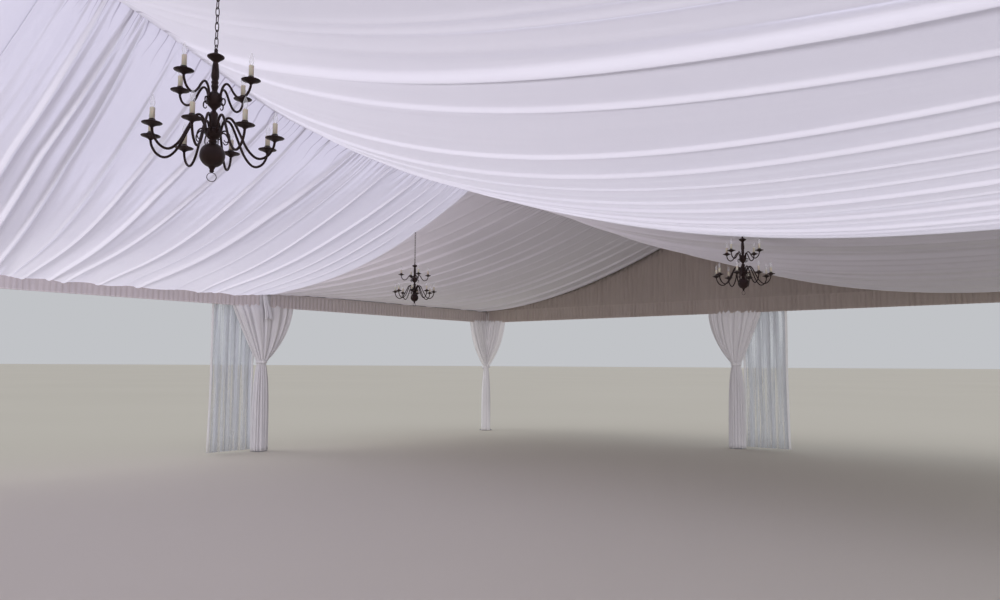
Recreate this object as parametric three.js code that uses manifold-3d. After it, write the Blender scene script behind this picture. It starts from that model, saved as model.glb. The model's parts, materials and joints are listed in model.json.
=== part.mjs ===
// A frame marquee of three open bays: aluminium legs, rails and rafters under a white roof cover,
// a swagged ceiling lining in six panels, pleated gable linings, valances, tied drapes on every leg,
// clear side curtains drawn back to the legs, and four chandeliers on chains.
// Millimetres, +Z up. The origin is on the ground in the middle of the footprint. X runs across the
// tent and Y along the ridge, from the near gable to the far one.
import * as THREE from 'three';
import { mergeVertices } from 'three/addons/utils/BufferGeometryUtils.js';
import Module from 'manifold-3d';

const wasm = await Module();
wasm.setup();

// Driving dimensions
const BAY = 6100;                 // spacing of the legs along the sides
const HALF_WIDTH = 6100;          // leg centre lines, left and right of the ridge
const HALF_LENGTH = 1.5 * BAY;    // three bays
const GAP = 0.3;                  // running gap between pieces that touch
const LEG = 70;                   // square legs and rails
const PLATE = 220;                // base plates
const PLATE_THICK = 8;
const RAIL_LOW = 2740;            // underside of the rails, top of the legs
const RAIL_HIGH = RAIL_LOW + LEG;
const PITCH = 0.32;               // rise of the rafters for each unit of run
const RAFTER_WIDE = 60;
const RAFTER_DEEP = 95;           // measured upright
const RAFTER_HEEL = 60;           // height of the rafter's outer end
const RIDGE_WIDE = 60;
const RIDGE_DEEP = 80;
const COVER_THICK = 8;
const COVER_OVER = 138;           // from the leg centre line out to the inside of the cover's skirt
const SKIRT_DROP = 270;
const LINING_THICK = 15;
const EAVE_LINING = 2768;         // lower face of the ceiling lining at the rails
const SEAM_HEIGHT = 3980;         // lower face of the ceiling lining at the seam between left and right
const SEAM_SHIFT = 1200;          // how far the seam wanders from the middle
const SEAM_CROSSES = -1650;       // where along the tent the seam crosses the middle
const SEAM_RUN = 1950;            // length over which it crosses
const LAP_SLOT = 30;              // open lap between the panels of two bays
const CURTAIN_BAND = 30;          // thickness of the gathered linings and valances
const VALANCE_LOW = 2500;
const VALANCE_HIGH = 2755;

const FRAMES = [-HALF_LENGTH, -BAY / 2, BAY / 2, HALF_LENGTH];
const BAY_NAMES = ['near', 'middle', 'far'];
const RAIL_INNER = HALF_WIDTH - LEG / 2;
const GABLE_INNER = HALF_LENGTH - LEG / 2;
const RAIL_OUTER = HALF_WIDTH + LEG / 2;

// Materials
const material = (color, roughness, metalness, more = {}) =>
  new THREE.MeshStandardMaterial({ color, roughness, metalness, ...more });
const aluminium = material(0x8d9095, 0.42, 0.9);
const coverVinyl = material(0xf1f1ee, 0.5, 0);
const liningCloth = material(0xe9e6ee, 0.75, 0);
const pleatedCloth = material(0xcfc6c2, 0.8, 0);
const drapeCloth = material(0xf2f0f1, 0.7, 0);
const clearVinyl = material(0xdfe6ea, 0.12, 0, { transparent: true, opacity: 0.35 });
const darkBronze = material(0x20140f, 0.4, 0.8);

const tent = new THREE.Group();

function addPiece(name, geometry, finish) {
  const mesh = new THREE.Mesh(geometry, finish);
  mesh.name = name;
  tent.add(mesh);
  return mesh;
}

// Closed mesh with merged vertices, as a solid that can be joined and cut
function toSolid(geometry) {
  const bare = geometry.clone();
  bare.deleteAttribute('normal');
  bare.deleteAttribute('uv');
  const merged = mergeVertices(bare, 1e-3);
  return new wasm.Manifold(new wasm.Mesh({
    numProp: 3,
    vertProperties: new Float32Array(merged.attributes.position.array),
    triVerts: new Uint32Array(merged.index.array),
  }));
}

function toGeometry(solid) {
  const mesh = solid.getMesh();
  const geometry = new THREE.BufferGeometry();
  geometry.setAttribute('position', new THREE.BufferAttribute(new Float32Array(mesh.vertProperties), 3));
  geometry.setIndex(new THREE.BufferAttribute(new Uint32Array(mesh.triVerts), 1));
  geometry.computeVertexNormals();
  return geometry;
}

const join = (geometries) => toGeometry(
  geometries.map(toSolid).reduce((whole, next) => whole.add(next)));

// A box from its lowest to its highest corner
function boxBetween([x0, y0, z0], [x1, y1, z1]) {
  const box = new THREE.BoxGeometry(x1 - x0, y1 - y0, z1 - z0);
  return box.translate((x0 + x1) / 2, (y0 + y1) / 2, (z0 + z1) / 2);
}

// An outline in the X-Z plane, carried along Y from y0 to y1
function plateAcross(points, y0, y1) {
  const shape = new THREE.Shape(points.map(([x, z]) => new THREE.Vector2(x, z)));
  const plate = new THREE.ExtrudeGeometry(shape, { depth: y1 - y0, bevelEnabled: false });
  return plate.rotateX(Math.PI / 2).translate(0, y1, 0);
}

// Rings of equal length, lowest first, each counter-clockwise seen from above, closed at both ends
function loft(rings) {
  const count = rings[0].length;
  const positions = rings.flat(2);
  const middle = (ring) => ring.reduce((sum, p) => sum.map((v, k) => v + p[k] / count), [0, 0, 0]);
  positions.push(...middle(rings[0]), ...middle(rings[rings.length - 1]));
  const bottomPole = rings.length * count;
  const index = [];
  for (let level = 0; level < rings.length - 1; level++) {
    for (let i = 0; i < count; i++) {
      const a = level * count + i;
      const b = level * count + (i + 1) % count;
      index.push(a, b, b + count, a, b + count, a + count);
    }
  }
  const top = (rings.length - 1) * count;
  for (let i = 0; i < count; i++) {
    const next = (i + 1) % count;
    index.push(bottomPole, next, i, bottomPole + 1, top + i, top + next);
  }
  const geometry = new THREE.BufferGeometry();
  geometry.setAttribute('position', new THREE.Float32BufferAttribute(positions, 3));
  geometry.setIndex(index);
  return geometry;
}

// A sheet of even upright thickness: lower(i, j) gives a point of its lower face
function sheet(columns, rows, lower, thickness) {
  const positions = [];
  for (const lift of [0, thickness]) {
    for (let j = 0; j <= rows; j++) {
      for (let i = 0; i <= columns; i++) {
        const [x, y, z] = lower(i / columns, j / rows);
        positions.push(x, y, z + lift);
      }
    }
  }
  const wide = columns + 1;
  const upper = wide * (rows + 1);
  const index = [];
  const quad = (a, b, c, d) => index.push(a, b, c, a, c, d);
  for (let j = 0; j < rows; j++) {
    for (let i = 0; i < columns; i++) {
      const a = j * wide + i;
      quad(a, a + wide, a + wide + 1, a + 1);
      quad(upper + a, upper + a + 1, upper + a + wide + 1, upper + a + wide);
    }
  }
  for (let i = 0; i < columns; i++) {
    const last = rows * wide + i;
    quad(i, i + 1, upper + i + 1, upper + i);
    quad(last + 1, last, upper + last, upper + last + 1);
  }
  for (let j = 0; j < rows; j++) {
    const first = j * wide;
    const last = first + columns;
    quad(first + wide, first, upper + first, upper + first + wide);
    quad(last, last + wide, upper + last + wide, upper + last);
  }
  const geometry = new THREE.BufferGeometry();
  geometry.setAttribute('position', new THREE.Float32BufferAttribute(positions, 3));
  geometry.setIndex(index);
  return geometry;
}

// Legs with welded base plates
function leg(x, y) {
  const half = LEG / 2;
  const foot = PLATE / 2;
  return join([
    boxBetween([x - foot, y - foot, 0], [x + foot, y + foot, PLATE_THICK]),
    boxBetween([x - half, y - half, PLATE_THICK / 2], [x + half, y + half, RAIL_LOW - GAP]),
  ]);
}

const legs = [];
FRAMES.forEach((y, frame) => {
  for (const [side, x] of [['left', -HALF_WIDTH], ['right', HALF_WIDTH]]) {
    legs.push({ name: `${side}_${frame + 1}`, x, y });
  }
});
legs.push({ name: 'gable_near', x: 0, y: -HALF_LENGTH });
legs.push({ name: 'gable_far', x: 0, y: HALF_LENGTH });
for (const { name, x, y } of legs) addPiece(`leg_${name}`, leg(x, y), aluminium);

// Eave rails along the sides, and the gable rails between them
for (const [name, x] of [['left', -HALF_WIDTH], ['right', HALF_WIDTH]]) {
  const end = HALF_LENGTH + LEG / 2;
  addPiece(`eave_rail_${name}`,
    boxBetween([x - LEG / 2, -end, RAIL_LOW], [x + LEG / 2, end, RAIL_HIGH]), aluminium);
}
for (const [name, y] of [['near', -HALF_LENGTH], ['far', HALF_LENGTH]]) {
  const end = RAIL_INNER - GAP;
  addPiece(`gable_rail_${name}`,
    boxBetween([-end, y - LEG / 2, RAIL_LOW], [end, y + LEG / 2, RAIL_HIGH]), aluminium);
}

// Rafters: one pair for each frame, welded at the crown, seated on the eave rails
const HEEL_LOW = RAIL_HIGH + GAP;
const CROWN_HIGH = HEEL_LOW + RAFTER_HEEL + PITCH * RAIL_OUTER;
const CROWN_LOW = CROWN_HIGH - RAFTER_DEEP;
const rafterUnder = (x) => CROWN_LOW - PITCH * Math.abs(x);
const rafterOver = (x) => CROWN_HIGH - PITCH * Math.abs(x);
const heelEnd = (CROWN_LOW - HEEL_LOW) / PITCH;
FRAMES.forEach((y, frame) => {
  const outline = [
    [-RAIL_OUTER, HEEL_LOW], [-heelEnd, HEEL_LOW], [0, CROWN_LOW], [heelEnd, HEEL_LOW],
    [RAIL_OUTER, HEEL_LOW], [RAIL_OUTER, HEEL_LOW + RAFTER_HEEL], [0, CROWN_HIGH],
    [-RAIL_OUTER, HEEL_LOW + RAFTER_HEEL],
  ];
  addPiece(`rafters_${frame + 1}`,
    plateAcross(outline, y - RAFTER_WIDE / 2, y + RAFTER_WIDE / 2), aluminium);
});

// Ridge beam under the crowns
const ridgeTop = rafterUnder(RIDGE_WIDE / 2) - GAP;
const ridgeEnd = HALF_LENGTH + RAFTER_WIDE / 2;
addPiece('ridge_beam', boxBetween(
  [-RIDGE_WIDE / 2, -ridgeEnd, ridgeTop - RIDGE_DEEP], [RIDGE_WIDE / 2, ridgeEnd, ridgeTop]), aluminium);

// Roof cover: a section for each bay lies on the rafters and hangs past the rails as a skirt,
// and the end sections carry the gable cloth
function coverSection(y0, y1, gableY) {
  const inner = HALF_WIDTH + COVER_OVER;
  const outer = inner + COVER_THICK;
  const under = (x) => rafterOver(x) + GAP;
  const skirtLow = under(inner) - SKIRT_DROP;
  const roof = [[-outer, skirtLow], [-inner, skirtLow], [-inner, under(inner)], [0, under(0)],
    [inner, under(inner)], [inner, skirtLow], [outer, skirtLow], [outer, under(outer) + COVER_THICK],
    [0, under(0) + COVER_THICK], [-outer, under(outer) + COVER_THICK]];
  const cover = plateAcross(roof, y0, y1);
  if (gableY === undefined) return cover;
  const seam = COVER_THICK / 2;
  const edge = inner + seam;
  const gable = [[-edge, skirtLow + seam], [edge, skirtLow + seam], [edge, under(edge) + seam],
    [0, under(0) + seam], [-edge, under(edge) + seam]];
  return join([cover, plateAcross(gable, gableY, gableY + seam)]);
}

const coverEnd = HALF_LENGTH + COVER_OVER;
const laced = 1;                  // half the laced joint between two sections
addPiece('roof_cover_near',
  coverSection(-coverEnd - COVER_THICK, FRAMES[1] - laced, -coverEnd - COVER_THICK / 2), coverVinyl);
addPiece('roof_cover_middle', coverSection(FRAMES[1] + laced, FRAMES[2] - laced), coverVinyl);
addPiece('roof_cover_far',
  coverSection(FRAMES[2] + laced, coverEnd + COVER_THICK, coverEnd), coverVinyl);

// Ceiling lining. The seam between its left and right halves wanders across the middle, and each
// half falls from the seam to the rail in a hanging curve that is slacker in some places.
const seamX = (y) => -SEAM_SHIFT * Math.tanh((y - SEAM_CROSSES) / SEAM_RUN);
const slackRight = [[-9150, -0.3], [-6100, 0.1], [-3050, 0.1], [-800, 1], [3050, 0.5], [6100, 1],
  [9150, 0.9]];
const slackLeft = [[-9150, 0.9], [-6100, 0.8], [-3050, 0.1], [0, 0.15], [3050, 0.1], [6100, 0.2],
  [9150, -0.3]];

// Smooth value between stations along Y
function along(stations, y) {
  const last = stations.length - 1;
  if (y <= stations[0][0]) return stations[0][1];
  if (y >= stations[last][0]) return stations[last][1];
  const next = stations.findIndex(([place]) => place > y);
  const [y0, v0] = stations[next - 1];
  const [y1, v1] = stations[next];
  const ease = 0.5 - 0.5 * Math.cos(Math.PI * (y - y0) / (y1 - y0));
  return v0 + (v1 - v0) * ease;
}

// Lower face of the lining: s runs from 0 at the seam to 1 at the rail, on side -1 or +1
function liningHeight(s, y, side) {
  const slack = along(side > 0 ? slackRight : slackLeft, y);
  const fall = (1 - s) ** (2.1 + slack) - 0.75 * Math.max(slack, 0) * s * s * (1 - s);
  return EAVE_LINING + (SEAM_HEIGHT - EAVE_LINING) * fall;
}

function liningPoint(s, y, side) {
  const start = seamX(y) + side * GAP / 2;
  const end = side * (RAIL_INNER - GAP);
  return [start + (end - start) * s, y, liningHeight(s, y, side)];
}

const liningEnd = GABLE_INNER - GAP - CURTAIN_BAND - GAP;
BAY_NAMES.forEach((bay, number) => {
  const y0 = number === 0 ? -liningEnd : FRAMES[number] + LAP_SLOT / 2;
  const y1 = number === 2 ? liningEnd : FRAMES[number + 1] - LAP_SLOT / 2;
  for (const [name, side] of [['left', -1], ['right', 1]]) {
    const lower = (u, v) => liningPoint(side > 0 ? u : 1 - u, y0 + (y1 - y0) * v, side);
    addPiece(`ceiling_${name}_${bay}`, sheet(12, 6, lower, LINING_THICK), liningCloth);
  }
});

// Batten that carries the seam, with a hanger up to each pair of rafters. The end hangers stand
// beside the gable linings and reach along to the rafters over them.
const BATTEN = 16;
function ceilingBatten() {
  const low = SEAM_HEIGHT + LINING_THICK + GAP;
  const high = low + BATTEN;
  const steps = 24;
  const edge = (offset) => Array.from({ length: steps + 1 }, (_, k) => {
    const y = liningEnd * (2 * k / steps - 1);
    return new THREE.Vector2(seamX(y) + offset, y);
  });
  const outline = new THREE.Shape([...edge(BATTEN / 2), ...edge(-BATTEN / 2).reverse()]);
  const batten = new THREE.ExtrudeGeometry(outline, { depth: BATTEN, bevelEnabled: false });
  batten.translate(0, 0, low);
  const half = 6;
  const rooted = 4;
  const hangers = [-liningEnd + BATTEN, FRAMES[1], FRAMES[2], liningEnd - BATTEN].map((y) => {
    const x = seamX(y);
    const top = rafterUnder(Math.abs(x) + half) - GAP;
    const atEnd = Math.abs(y) > HALF_LENGTH - BAY / 2;
    const reach = atEnd ? HALF_LENGTH - RAFTER_WIDE / 2 + half : Math.abs(y) + half;
    const back = Math.abs(y) - half;
    const [yLow, yHigh] = y < 0 ? [-reach, -back] : [back, reach];
    return join([
      boxBetween([x - half, y - half, high - rooted], [x + half, y + half, top]),
      boxBetween([x - half, yLow, top - 2 * BATTEN], [x + half, yHigh, top]),
    ]);
  });
  return join([batten, ...hangers]);
}
addPiece('ceiling_batten', ceilingBatten(), aluminium);

// Gable linings: pleated cloth from the ceiling lining down to the valance hem
for (const [name, sign] of [['near', -1], ['far', 1]]) {
  const face = sign * liningEnd;
  const steps = 14;
  const rise = 40;
  const end = RAIL_INNER - GAP - CURTAIN_BAND - GAP;
  const profile = [];
  for (let k = 0; k <= steps; k++) {
    const s = 1 - k / steps;
    const [x, , z] = liningPoint(s, face, -1);
    profile.push([Math.max(x, -end), z + rise]);
  }
  for (let k = 1; k <= steps; k++) {
    const [x, , z] = liningPoint(k / steps, face, 1);
    profile.push([Math.min(x, end), z + rise]);
  }
  const outline = [[-end, VALANCE_LOW], [end, VALANCE_LOW], ...profile.reverse()];
  const front = liningEnd + GAP;
  const back = front + CURTAIN_BAND;
  const [y0, y1] = sign < 0 ? [-back, -front] : [front, back];
  addPiece(`gable_lining_${name}`, plateAcross(outline, y0, y1), pleatedCloth);
}

// Side valances: gathered bands on one header tape, open at the middle legs
for (const [name, side] of [['left', -1], ['right', 1]]) {
  const outer = RAIL_INNER - GAP;
  const inner = outer - CURTAIN_BAND;
  const [x0, x1] = side < 0 ? [-outer, -inner] : [inner, outer];
  const opening = 110;
  const tape = 20;
  const end = liningEnd + CURTAIN_BAND;
  const spans = [[-end, FRAMES[1] - opening], [FRAMES[1] + opening, FRAMES[2] - opening],
    [FRAMES[2] + opening, end]];
  const bands = spans.map(([y0, y1]) => boxBetween([x0, y0, VALANCE_LOW], [x1, y1, VALANCE_HIGH]));
  bands.push(boxBetween([x0, -end, VALANCE_HIGH - tape], [x1, end, VALANCE_HIGH]));
  addPiece(`valance_${name}`, join(bands), pleatedCloth);
}

// Leg drapes: cloth hung under the rail, gathered to a tie at the leg, then falling to the ground.
// Each station holds the height, the reach along the rail, and the reach into the tent from the leg.
const TIE_HEIGHT = 1460;
const DRAPE_BACK = LEG / 2 - GAP;
const DRAPE_SHORT = LEG / 2 + 25;  // reach of a corner drape past the leg, away from its rail
const drapeStations = [
  [14, 170, 150], [700, 120, 105], [TIE_HEIGHT - 60, 88, 80], [TIE_HEIGHT, 74, 66],
  [TIE_HEIGHT + 110, 150, 84], [TIE_HEIGHT + 330, 330, 90], [2120, 470, 88],
  [VALANCE_LOW - 20, 560, 80], [VALANCE_LOW - 2, 570, DRAPE_BACK], [RAIL_LOW - GAP, 590, DRAPE_BACK],
];

// Ring around the leg at (x, y): the rail runs along the unit vector run, and the inside of the tent
// is where the unit vector room points. The ring reaches before against run, and after along it.
function drapeRing([height, , inward], x, y, run, room, before, after) {
  const corners = [[after, -DRAPE_BACK], [after, inward], [-before, inward], [-before, -DRAPE_BACK]];
  const points = corners.flatMap(([along0, deep0], k) => {
    const [along1, deep1] = corners[(k + 1) % corners.length];
    return [[along0, deep0], [(along0 + along1) / 2, (deep0 + deep1) / 2]];
  });
  const ring = points.map(([a, d]) => [x + a * run[0] + d * room[0], y + a * run[1] + d * room[1], height]);
  const turn = run[0] * room[1] - run[1] * room[0];
  return turn > 0 ? ring : ring.reverse();
}

function drapeLoft(x, y, run, room, sides) {
  return loft(drapeStations.map((station) => {
    const reach = station[1];
    const before = sides === 'both' ? reach : Math.min(reach, DRAPE_SHORT);
    return drapeRing(station, x, y, run, room, before, reach);
  }));
}

// The leg passes through the drape from end to end
function legTool(x, y) {
  const half = LEG / 2 + GAP;
  return boxBetween([x - half, y - half, 0], [x + half, y + half, RAIL_HIGH]);
}

for (const { name, x, y } of legs) {
  const sideways = [0, Math.abs(y) < HALF_LENGTH ? 1 : -Math.sign(y)];
  const inX = [-Math.sign(x), 0];
  const inY = [0, -Math.sign(y)];
  let cloth;
  if (x === 0) cloth = toSolid(drapeLoft(x, y, [1, 0], inY, 'both'));
  else if (Math.abs(y) < HALF_LENGTH) cloth = toSolid(drapeLoft(x, y, sideways, inX, 'both'));
  else {
    const onSide = toSolid(drapeLoft(x, y, sideways, inX, 'one'));
    const onGable = toSolid(drapeLoft(x, y, inX, inY, 'one'));
    cloth = onSide.add(onGable);
  }
  addPiece(`drape_${name}`, toGeometry(cloth.subtract(toSolid(legTool(x, y)))), drapeCloth);
}

// Clear side curtains, drawn back to one side of each middle leg and hung outside the rail
const CURTAIN_FROM = 100;         // from the leg's centre line to the curtain's nearer edge
const CURTAIN_WIDE = 860;
const CURTAIN_THICK = 40;
const CURTAIN_LOW = 40;
const CURTAIN_HIGH = 2785;
for (const { name, x, y } of legs) {
  const corner = x !== 0 && Math.abs(y) === HALF_LENGTH;
  if (corner) continue;
  // The curtain runs toward +Y from the right legs, toward +X from the far gable, and the other way
  // from the left legs and the near gable
  const way = Math.sign(x) || Math.sign(y);
  const span = [way * CURTAIN_FROM, way * (CURTAIN_FROM + CURTAIN_WIDE)].sort((a, b) => a - b);
  const near = LEG / 2 + GAP;
  const depth = [way * near, way * (near + CURTAIN_THICK)].sort((a, b) => a - b);
  const [[x0, x1], [y0, y1]] = x === 0 ? [span, depth] : [depth, span];
  addPiece(`clear_curtain_${name}`,
    boxBetween([x + x0, y + y0, CURTAIN_LOW], [x + x1, y + y1, CURTAIN_HIGH]), clearVinyl);
}

// Chandeliers: a turned column with two tiers of curved arms, each with a cup and a candle,
// on a chain that passes through the lap in the lining to a hook under the rafter
const COLUMN_SIDES = 8;
const columnProfile = [[0, 0], [21, 8], [21, 42], [8, 52], [14, 62], [44, 84], [57, 124], [44, 164],
  [18, 184], [24, 198], [37, 222], [37, 246], [15, 264], [21, 318], [10, 338], [22, 356], [36, 378],
  [36, 400], [17, 424], [18, 500], [13, 558], [39, 588], [39, 598], [10, 610], [10, 632], [0, 634]];
const TIERS = [
  { arms: 8, radius: 282, root: 234, arch: 300, dip: 114, cup: 212, turn: 0 },
  { arms: 4, radius: 201, root: 388, arch: 452, dip: 380, cup: 457, turn: 22.5 },
];

// A square bar carried along a smooth curve: out of the hub and up over an arch, down to its lowest
// point at about three quarters of the radius, and up to the cup
function arm({ radius, root, arch, dip, cup }) {
  const hub = 30;
  const archOut = 68;
  const dipOut = radius * 0.78;
  const path = new THREE.CatmullRomCurve3([
    new THREE.Vector3(hub, 0, root),
    new THREE.Vector3(archOut, 0, arch),
    new THREE.Vector3((archOut + dipOut) / 2, 0, (arch + dip) / 2),
    new THREE.Vector3(dipOut, 0, dip),
    new THREE.Vector3(radius * 0.98, 0, dip + (cup - dip) * 0.35),
    new THREE.Vector3(radius, 0, cup),
  ]);
  const half = 6;
  const section = new THREE.Shape([
    new THREE.Vector2(-half, -half), new THREE.Vector2(half, -half),
    new THREE.Vector2(half, half), new THREE.Vector2(-half, half)]);
  return new THREE.ExtrudeGeometry(section, { steps: 8, bevelEnabled: false, extrudePath: path });
}

// Drip cup, candle sleeve and flame bulb as one turned piece
const candleProfile = [[0, -20], [44, 0], [13, 14], [12, 68], [10, 96], [0, 130]];
const CANDLE_SIDES = 6;
function candle({ radius, cup }) {
  const points = candleProfile.map(([r, z]) => new THREE.Vector2(r, z));
  const turned = new THREE.LatheGeometry(points, CANDLE_SIDES).rotateX(Math.PI / 2);
  return turned.translate(radius, 0, cup);
}

function chandelier({ x, y, low, turn }) {
  const points = columnProfile.map(([r, z]) => new THREE.Vector2(r, z));
  let whole = toSolid(new THREE.LatheGeometry(points, COLUMN_SIDES).rotateX(Math.PI / 2));
  for (const tier of TIERS) {
    const one = toSolid(arm(tier)).add(toSolid(candle(tier)));
    for (let k = 0; k < tier.arms; k++) {
      whole = whole.add(one.rotate([0, 0, turn + tier.turn + k * 360 / tier.arms]));
    }
  }
  const link = 7;
  const finial = 620;
  const top = rafterUnder(Math.abs(x) + link) - GAP - low;
  whole = whole.add(toSolid(boxBetween([-link, -link, finial], [link, link, top])));
  return toGeometry(whole.translate([x, y, low]));
}

const chandelierPlaces = [
  { x: 2549, y: FRAMES[1], low: 2332, turn: -3 },
  { x: -2450, y: FRAMES[1], low: 2332, turn: 20 },
  { x: -2320, y: FRAMES[2], low: 2353, turn: 38 },
  { x: 2610, y: FRAMES[2], low: 2255, turn: 54.5 },
];
chandelierPlaces.forEach((place, number) => {
  addPiece(`chandelier_${number + 1}`, chandelier(place), darkBronze);
});

export default tent;
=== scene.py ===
"""A frame marquee of three open bays, seen from inside: a swagged white ceiling lining in gathered
folds, pleated gable linings and valances, tied leg drapes, clear side curtains and four chandeliers
on chains, on an aluminium frame under a white roof cover. Metres, +Z up, +Y along the ridge."""
import json
import math

import bmesh
import bpy
import numpy as np
from mathutils import Matrix, Vector

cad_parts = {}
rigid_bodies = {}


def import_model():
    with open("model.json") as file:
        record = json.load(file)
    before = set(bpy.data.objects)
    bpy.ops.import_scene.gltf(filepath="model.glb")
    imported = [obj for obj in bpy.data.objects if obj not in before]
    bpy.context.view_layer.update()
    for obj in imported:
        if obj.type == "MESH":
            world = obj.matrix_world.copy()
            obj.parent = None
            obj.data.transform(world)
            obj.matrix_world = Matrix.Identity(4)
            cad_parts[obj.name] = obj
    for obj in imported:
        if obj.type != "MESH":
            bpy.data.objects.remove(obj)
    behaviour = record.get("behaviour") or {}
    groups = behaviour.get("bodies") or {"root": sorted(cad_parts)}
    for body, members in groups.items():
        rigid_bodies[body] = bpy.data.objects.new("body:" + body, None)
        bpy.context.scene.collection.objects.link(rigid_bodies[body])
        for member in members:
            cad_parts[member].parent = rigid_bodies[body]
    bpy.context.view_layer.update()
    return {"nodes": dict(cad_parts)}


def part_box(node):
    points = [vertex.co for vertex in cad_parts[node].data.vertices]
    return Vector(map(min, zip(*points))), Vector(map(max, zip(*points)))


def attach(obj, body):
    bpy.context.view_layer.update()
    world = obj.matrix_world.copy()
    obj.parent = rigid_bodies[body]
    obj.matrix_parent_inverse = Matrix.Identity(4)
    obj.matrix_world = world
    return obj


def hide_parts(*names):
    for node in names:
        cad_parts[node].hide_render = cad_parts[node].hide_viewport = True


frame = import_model()

# The camera stands inside the near bay, close to its right side and 1.5 m above the ground, and
# looks along the tent and to the left. Its turn, tilt and lens were fitted to the rails, the hems,
# the seam and the legs.
CAMERA_PLACE = (5.81, -4.946, 1.5)
CAMERA_TURN = math.radians(39.2)
CAMERA_TILT = math.radians(4.8)
CAMERA_ROLL = math.radians(0.3)
CAMERA_LENS = 28.12

camera = bpy.data.objects.new("camera", bpy.data.cameras.new("camera"))
bpy.context.scene.collection.objects.link(camera)
camera.data.lens = CAMERA_LENS
camera.data.sensor_width = 36
camera.data.clip_end = 4000
camera.matrix_world = (Matrix.Translation(CAMERA_PLACE)
                       @ Matrix.Rotation(CAMERA_TURN, 4, "Z")
                       @ Matrix.Rotation(math.pi / 2 + CAMERA_TILT, 4, "X")
                       @ Matrix.Rotation(CAMERA_ROLL, 4, "Z"))
bpy.context.scene.camera = camera


# The ceiling lining is six panels of sheer white cloth, one on each side of the seam in each bay.
# A panel is gathered on a heading at the seam and along the rail, and hangs in a slack curve between
# them, so that its spare cloth falls into long folds that run from the seam to the rail.
class Value:
    """A socket in an expression: +, - and * put Math nodes into its material."""

    def __init__(self, socket):
        self.socket = socket

    def joined(self, operation, first, second):
        """A Math node that takes two values or numbers."""
        tree = self.socket.id_data
        made = tree.nodes.new("ShaderNodeMath")
        made.operation = operation
        for place, term in enumerate((first, second)):
            if isinstance(term, Value):
                tree.links.new(term.socket, made.inputs[place])
            else:
                made.inputs[place].default_value = term
        return Value(made.outputs[0])

    def __add__(self, other):
        return self.joined("ADD", self, other)

    def __radd__(self, other):
        return self.joined("ADD", other, self)

    def __sub__(self, other):
        return self.joined("SUBTRACT", self, other)

    def __rsub__(self, other):
        return self.joined("SUBTRACT", other, self)

    def __mul__(self, other):
        return self.joined("MULTIPLY", self, other)

    def __rmul__(self, other):
        return self.joined("MULTIPLY", other, self)

    def above(self, edge):
        """1 where the value is over edge, else 0."""
        return self.joined("GREATER_THAN", self, edge)


class Finish:
    """A material around one Principled shader. node() adds any other node to it."""

    def __init__(self, name, **fixed):
        self.material = bpy.data.materials.new(name)
        self.material.use_nodes = True
        self.tree = self.material.node_tree
        self.shader = self.tree.nodes["Principled BSDF"]
        for socket, value in fixed.items():
            self.shader.inputs[socket.replace("_", " ")].default_value = value

    def node(self, kind, settings=None, inputs=None, output=0):
        """A node of any other kind: its settings or a ramp's stops come first, then its sockets."""
        made = self.tree.nodes.new("ShaderNode" + kind)
        for key, value in (settings or {}).items():
            if key == "stops":
                for element, (place, gray) in zip(made.color_ramp.elements, value):
                    element.position = place
                    element.color = (gray, gray, gray, 1)
            else:
                setattr(made, key, value)
        for key, value in (inputs or {}).items():
            self.feed(made.inputs[key], value)
        return Value(made.outputs[output])

    def feed(self, socket, value):
        """Gives a socket a link or a plain value."""
        if isinstance(value, Value):
            self.tree.links.new(value.socket, socket)
        else:
            socket.default_value = value

    def surface(self, **inputs):
        """Feeds the shader and returns the finished material."""
        for key, value in inputs.items():
            self.feed(self.shader.inputs[key.replace("_", " ")], value)
        return self.material

    def place(self):
        """Where a point lies on the object, in metres."""
        return self.node("TexCoord", output=3)

    def cloth_place(self):
        """Where a point lies on the flat cloth, in metres."""
        return self.node("UVMap", {"uv_map": "cloth"})

    def noise(self, vector, scale, detail=2.0, roughness=0.5):
        """Smooth noise from 0 to 1."""
        return self.node("TexNoise", inputs={
            "Vector": vector, "Scale": scale, "Detail": detail, "Roughness": roughness})

    def streaks(self, vector, stretch, detail, roughness=0.5):
        """Noise drawn out along a direction by its three scales."""
        drawn_out = self.node("Mapping", inputs={"Vector": vector, "Scale": stretch})
        return self.noise(drawn_out, 1.0, detail, roughness)

    def threads(self, vector, direction, scale):
        """Bands across the vector's X or Y, as fine as the threads of cloth."""
        return self.node("TexWave", {"wave_type": "BANDS", "bands_direction": direction},
                         {"Vector": vector, "Scale": scale})

    def between(self, factor, dark, light):
        """Colour that goes from dark to light with factor."""
        return self.node("Mix", {"data_type": "RGBA"},
                         {0: factor, 6: (*dark, 1), 7: (*light, 1)}, output=2)

    def ramp(self, value, low, low_gray, high, high_gray):
        """Two grays, the first up to low and the second from high."""
        return self.node("ValToRGB", {"stops": [(low, low_gray), (high, high_gray)]}, {"Fac": value})

    def bump(self, height, distance, strength=1.0):
        """The surface's slope under a small relief."""
        return self.node("Bump", inputs={
            "Height": height, "Distance": distance, "Strength": strength})


def face_corners(grid):
    """What a grid holds at the four corners of each of its faces."""
    return np.stack([grid[:-1, :-1], grid[:-1, 1:], grid[1:, 1:], grid[1:, :-1]], axis=2)


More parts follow.
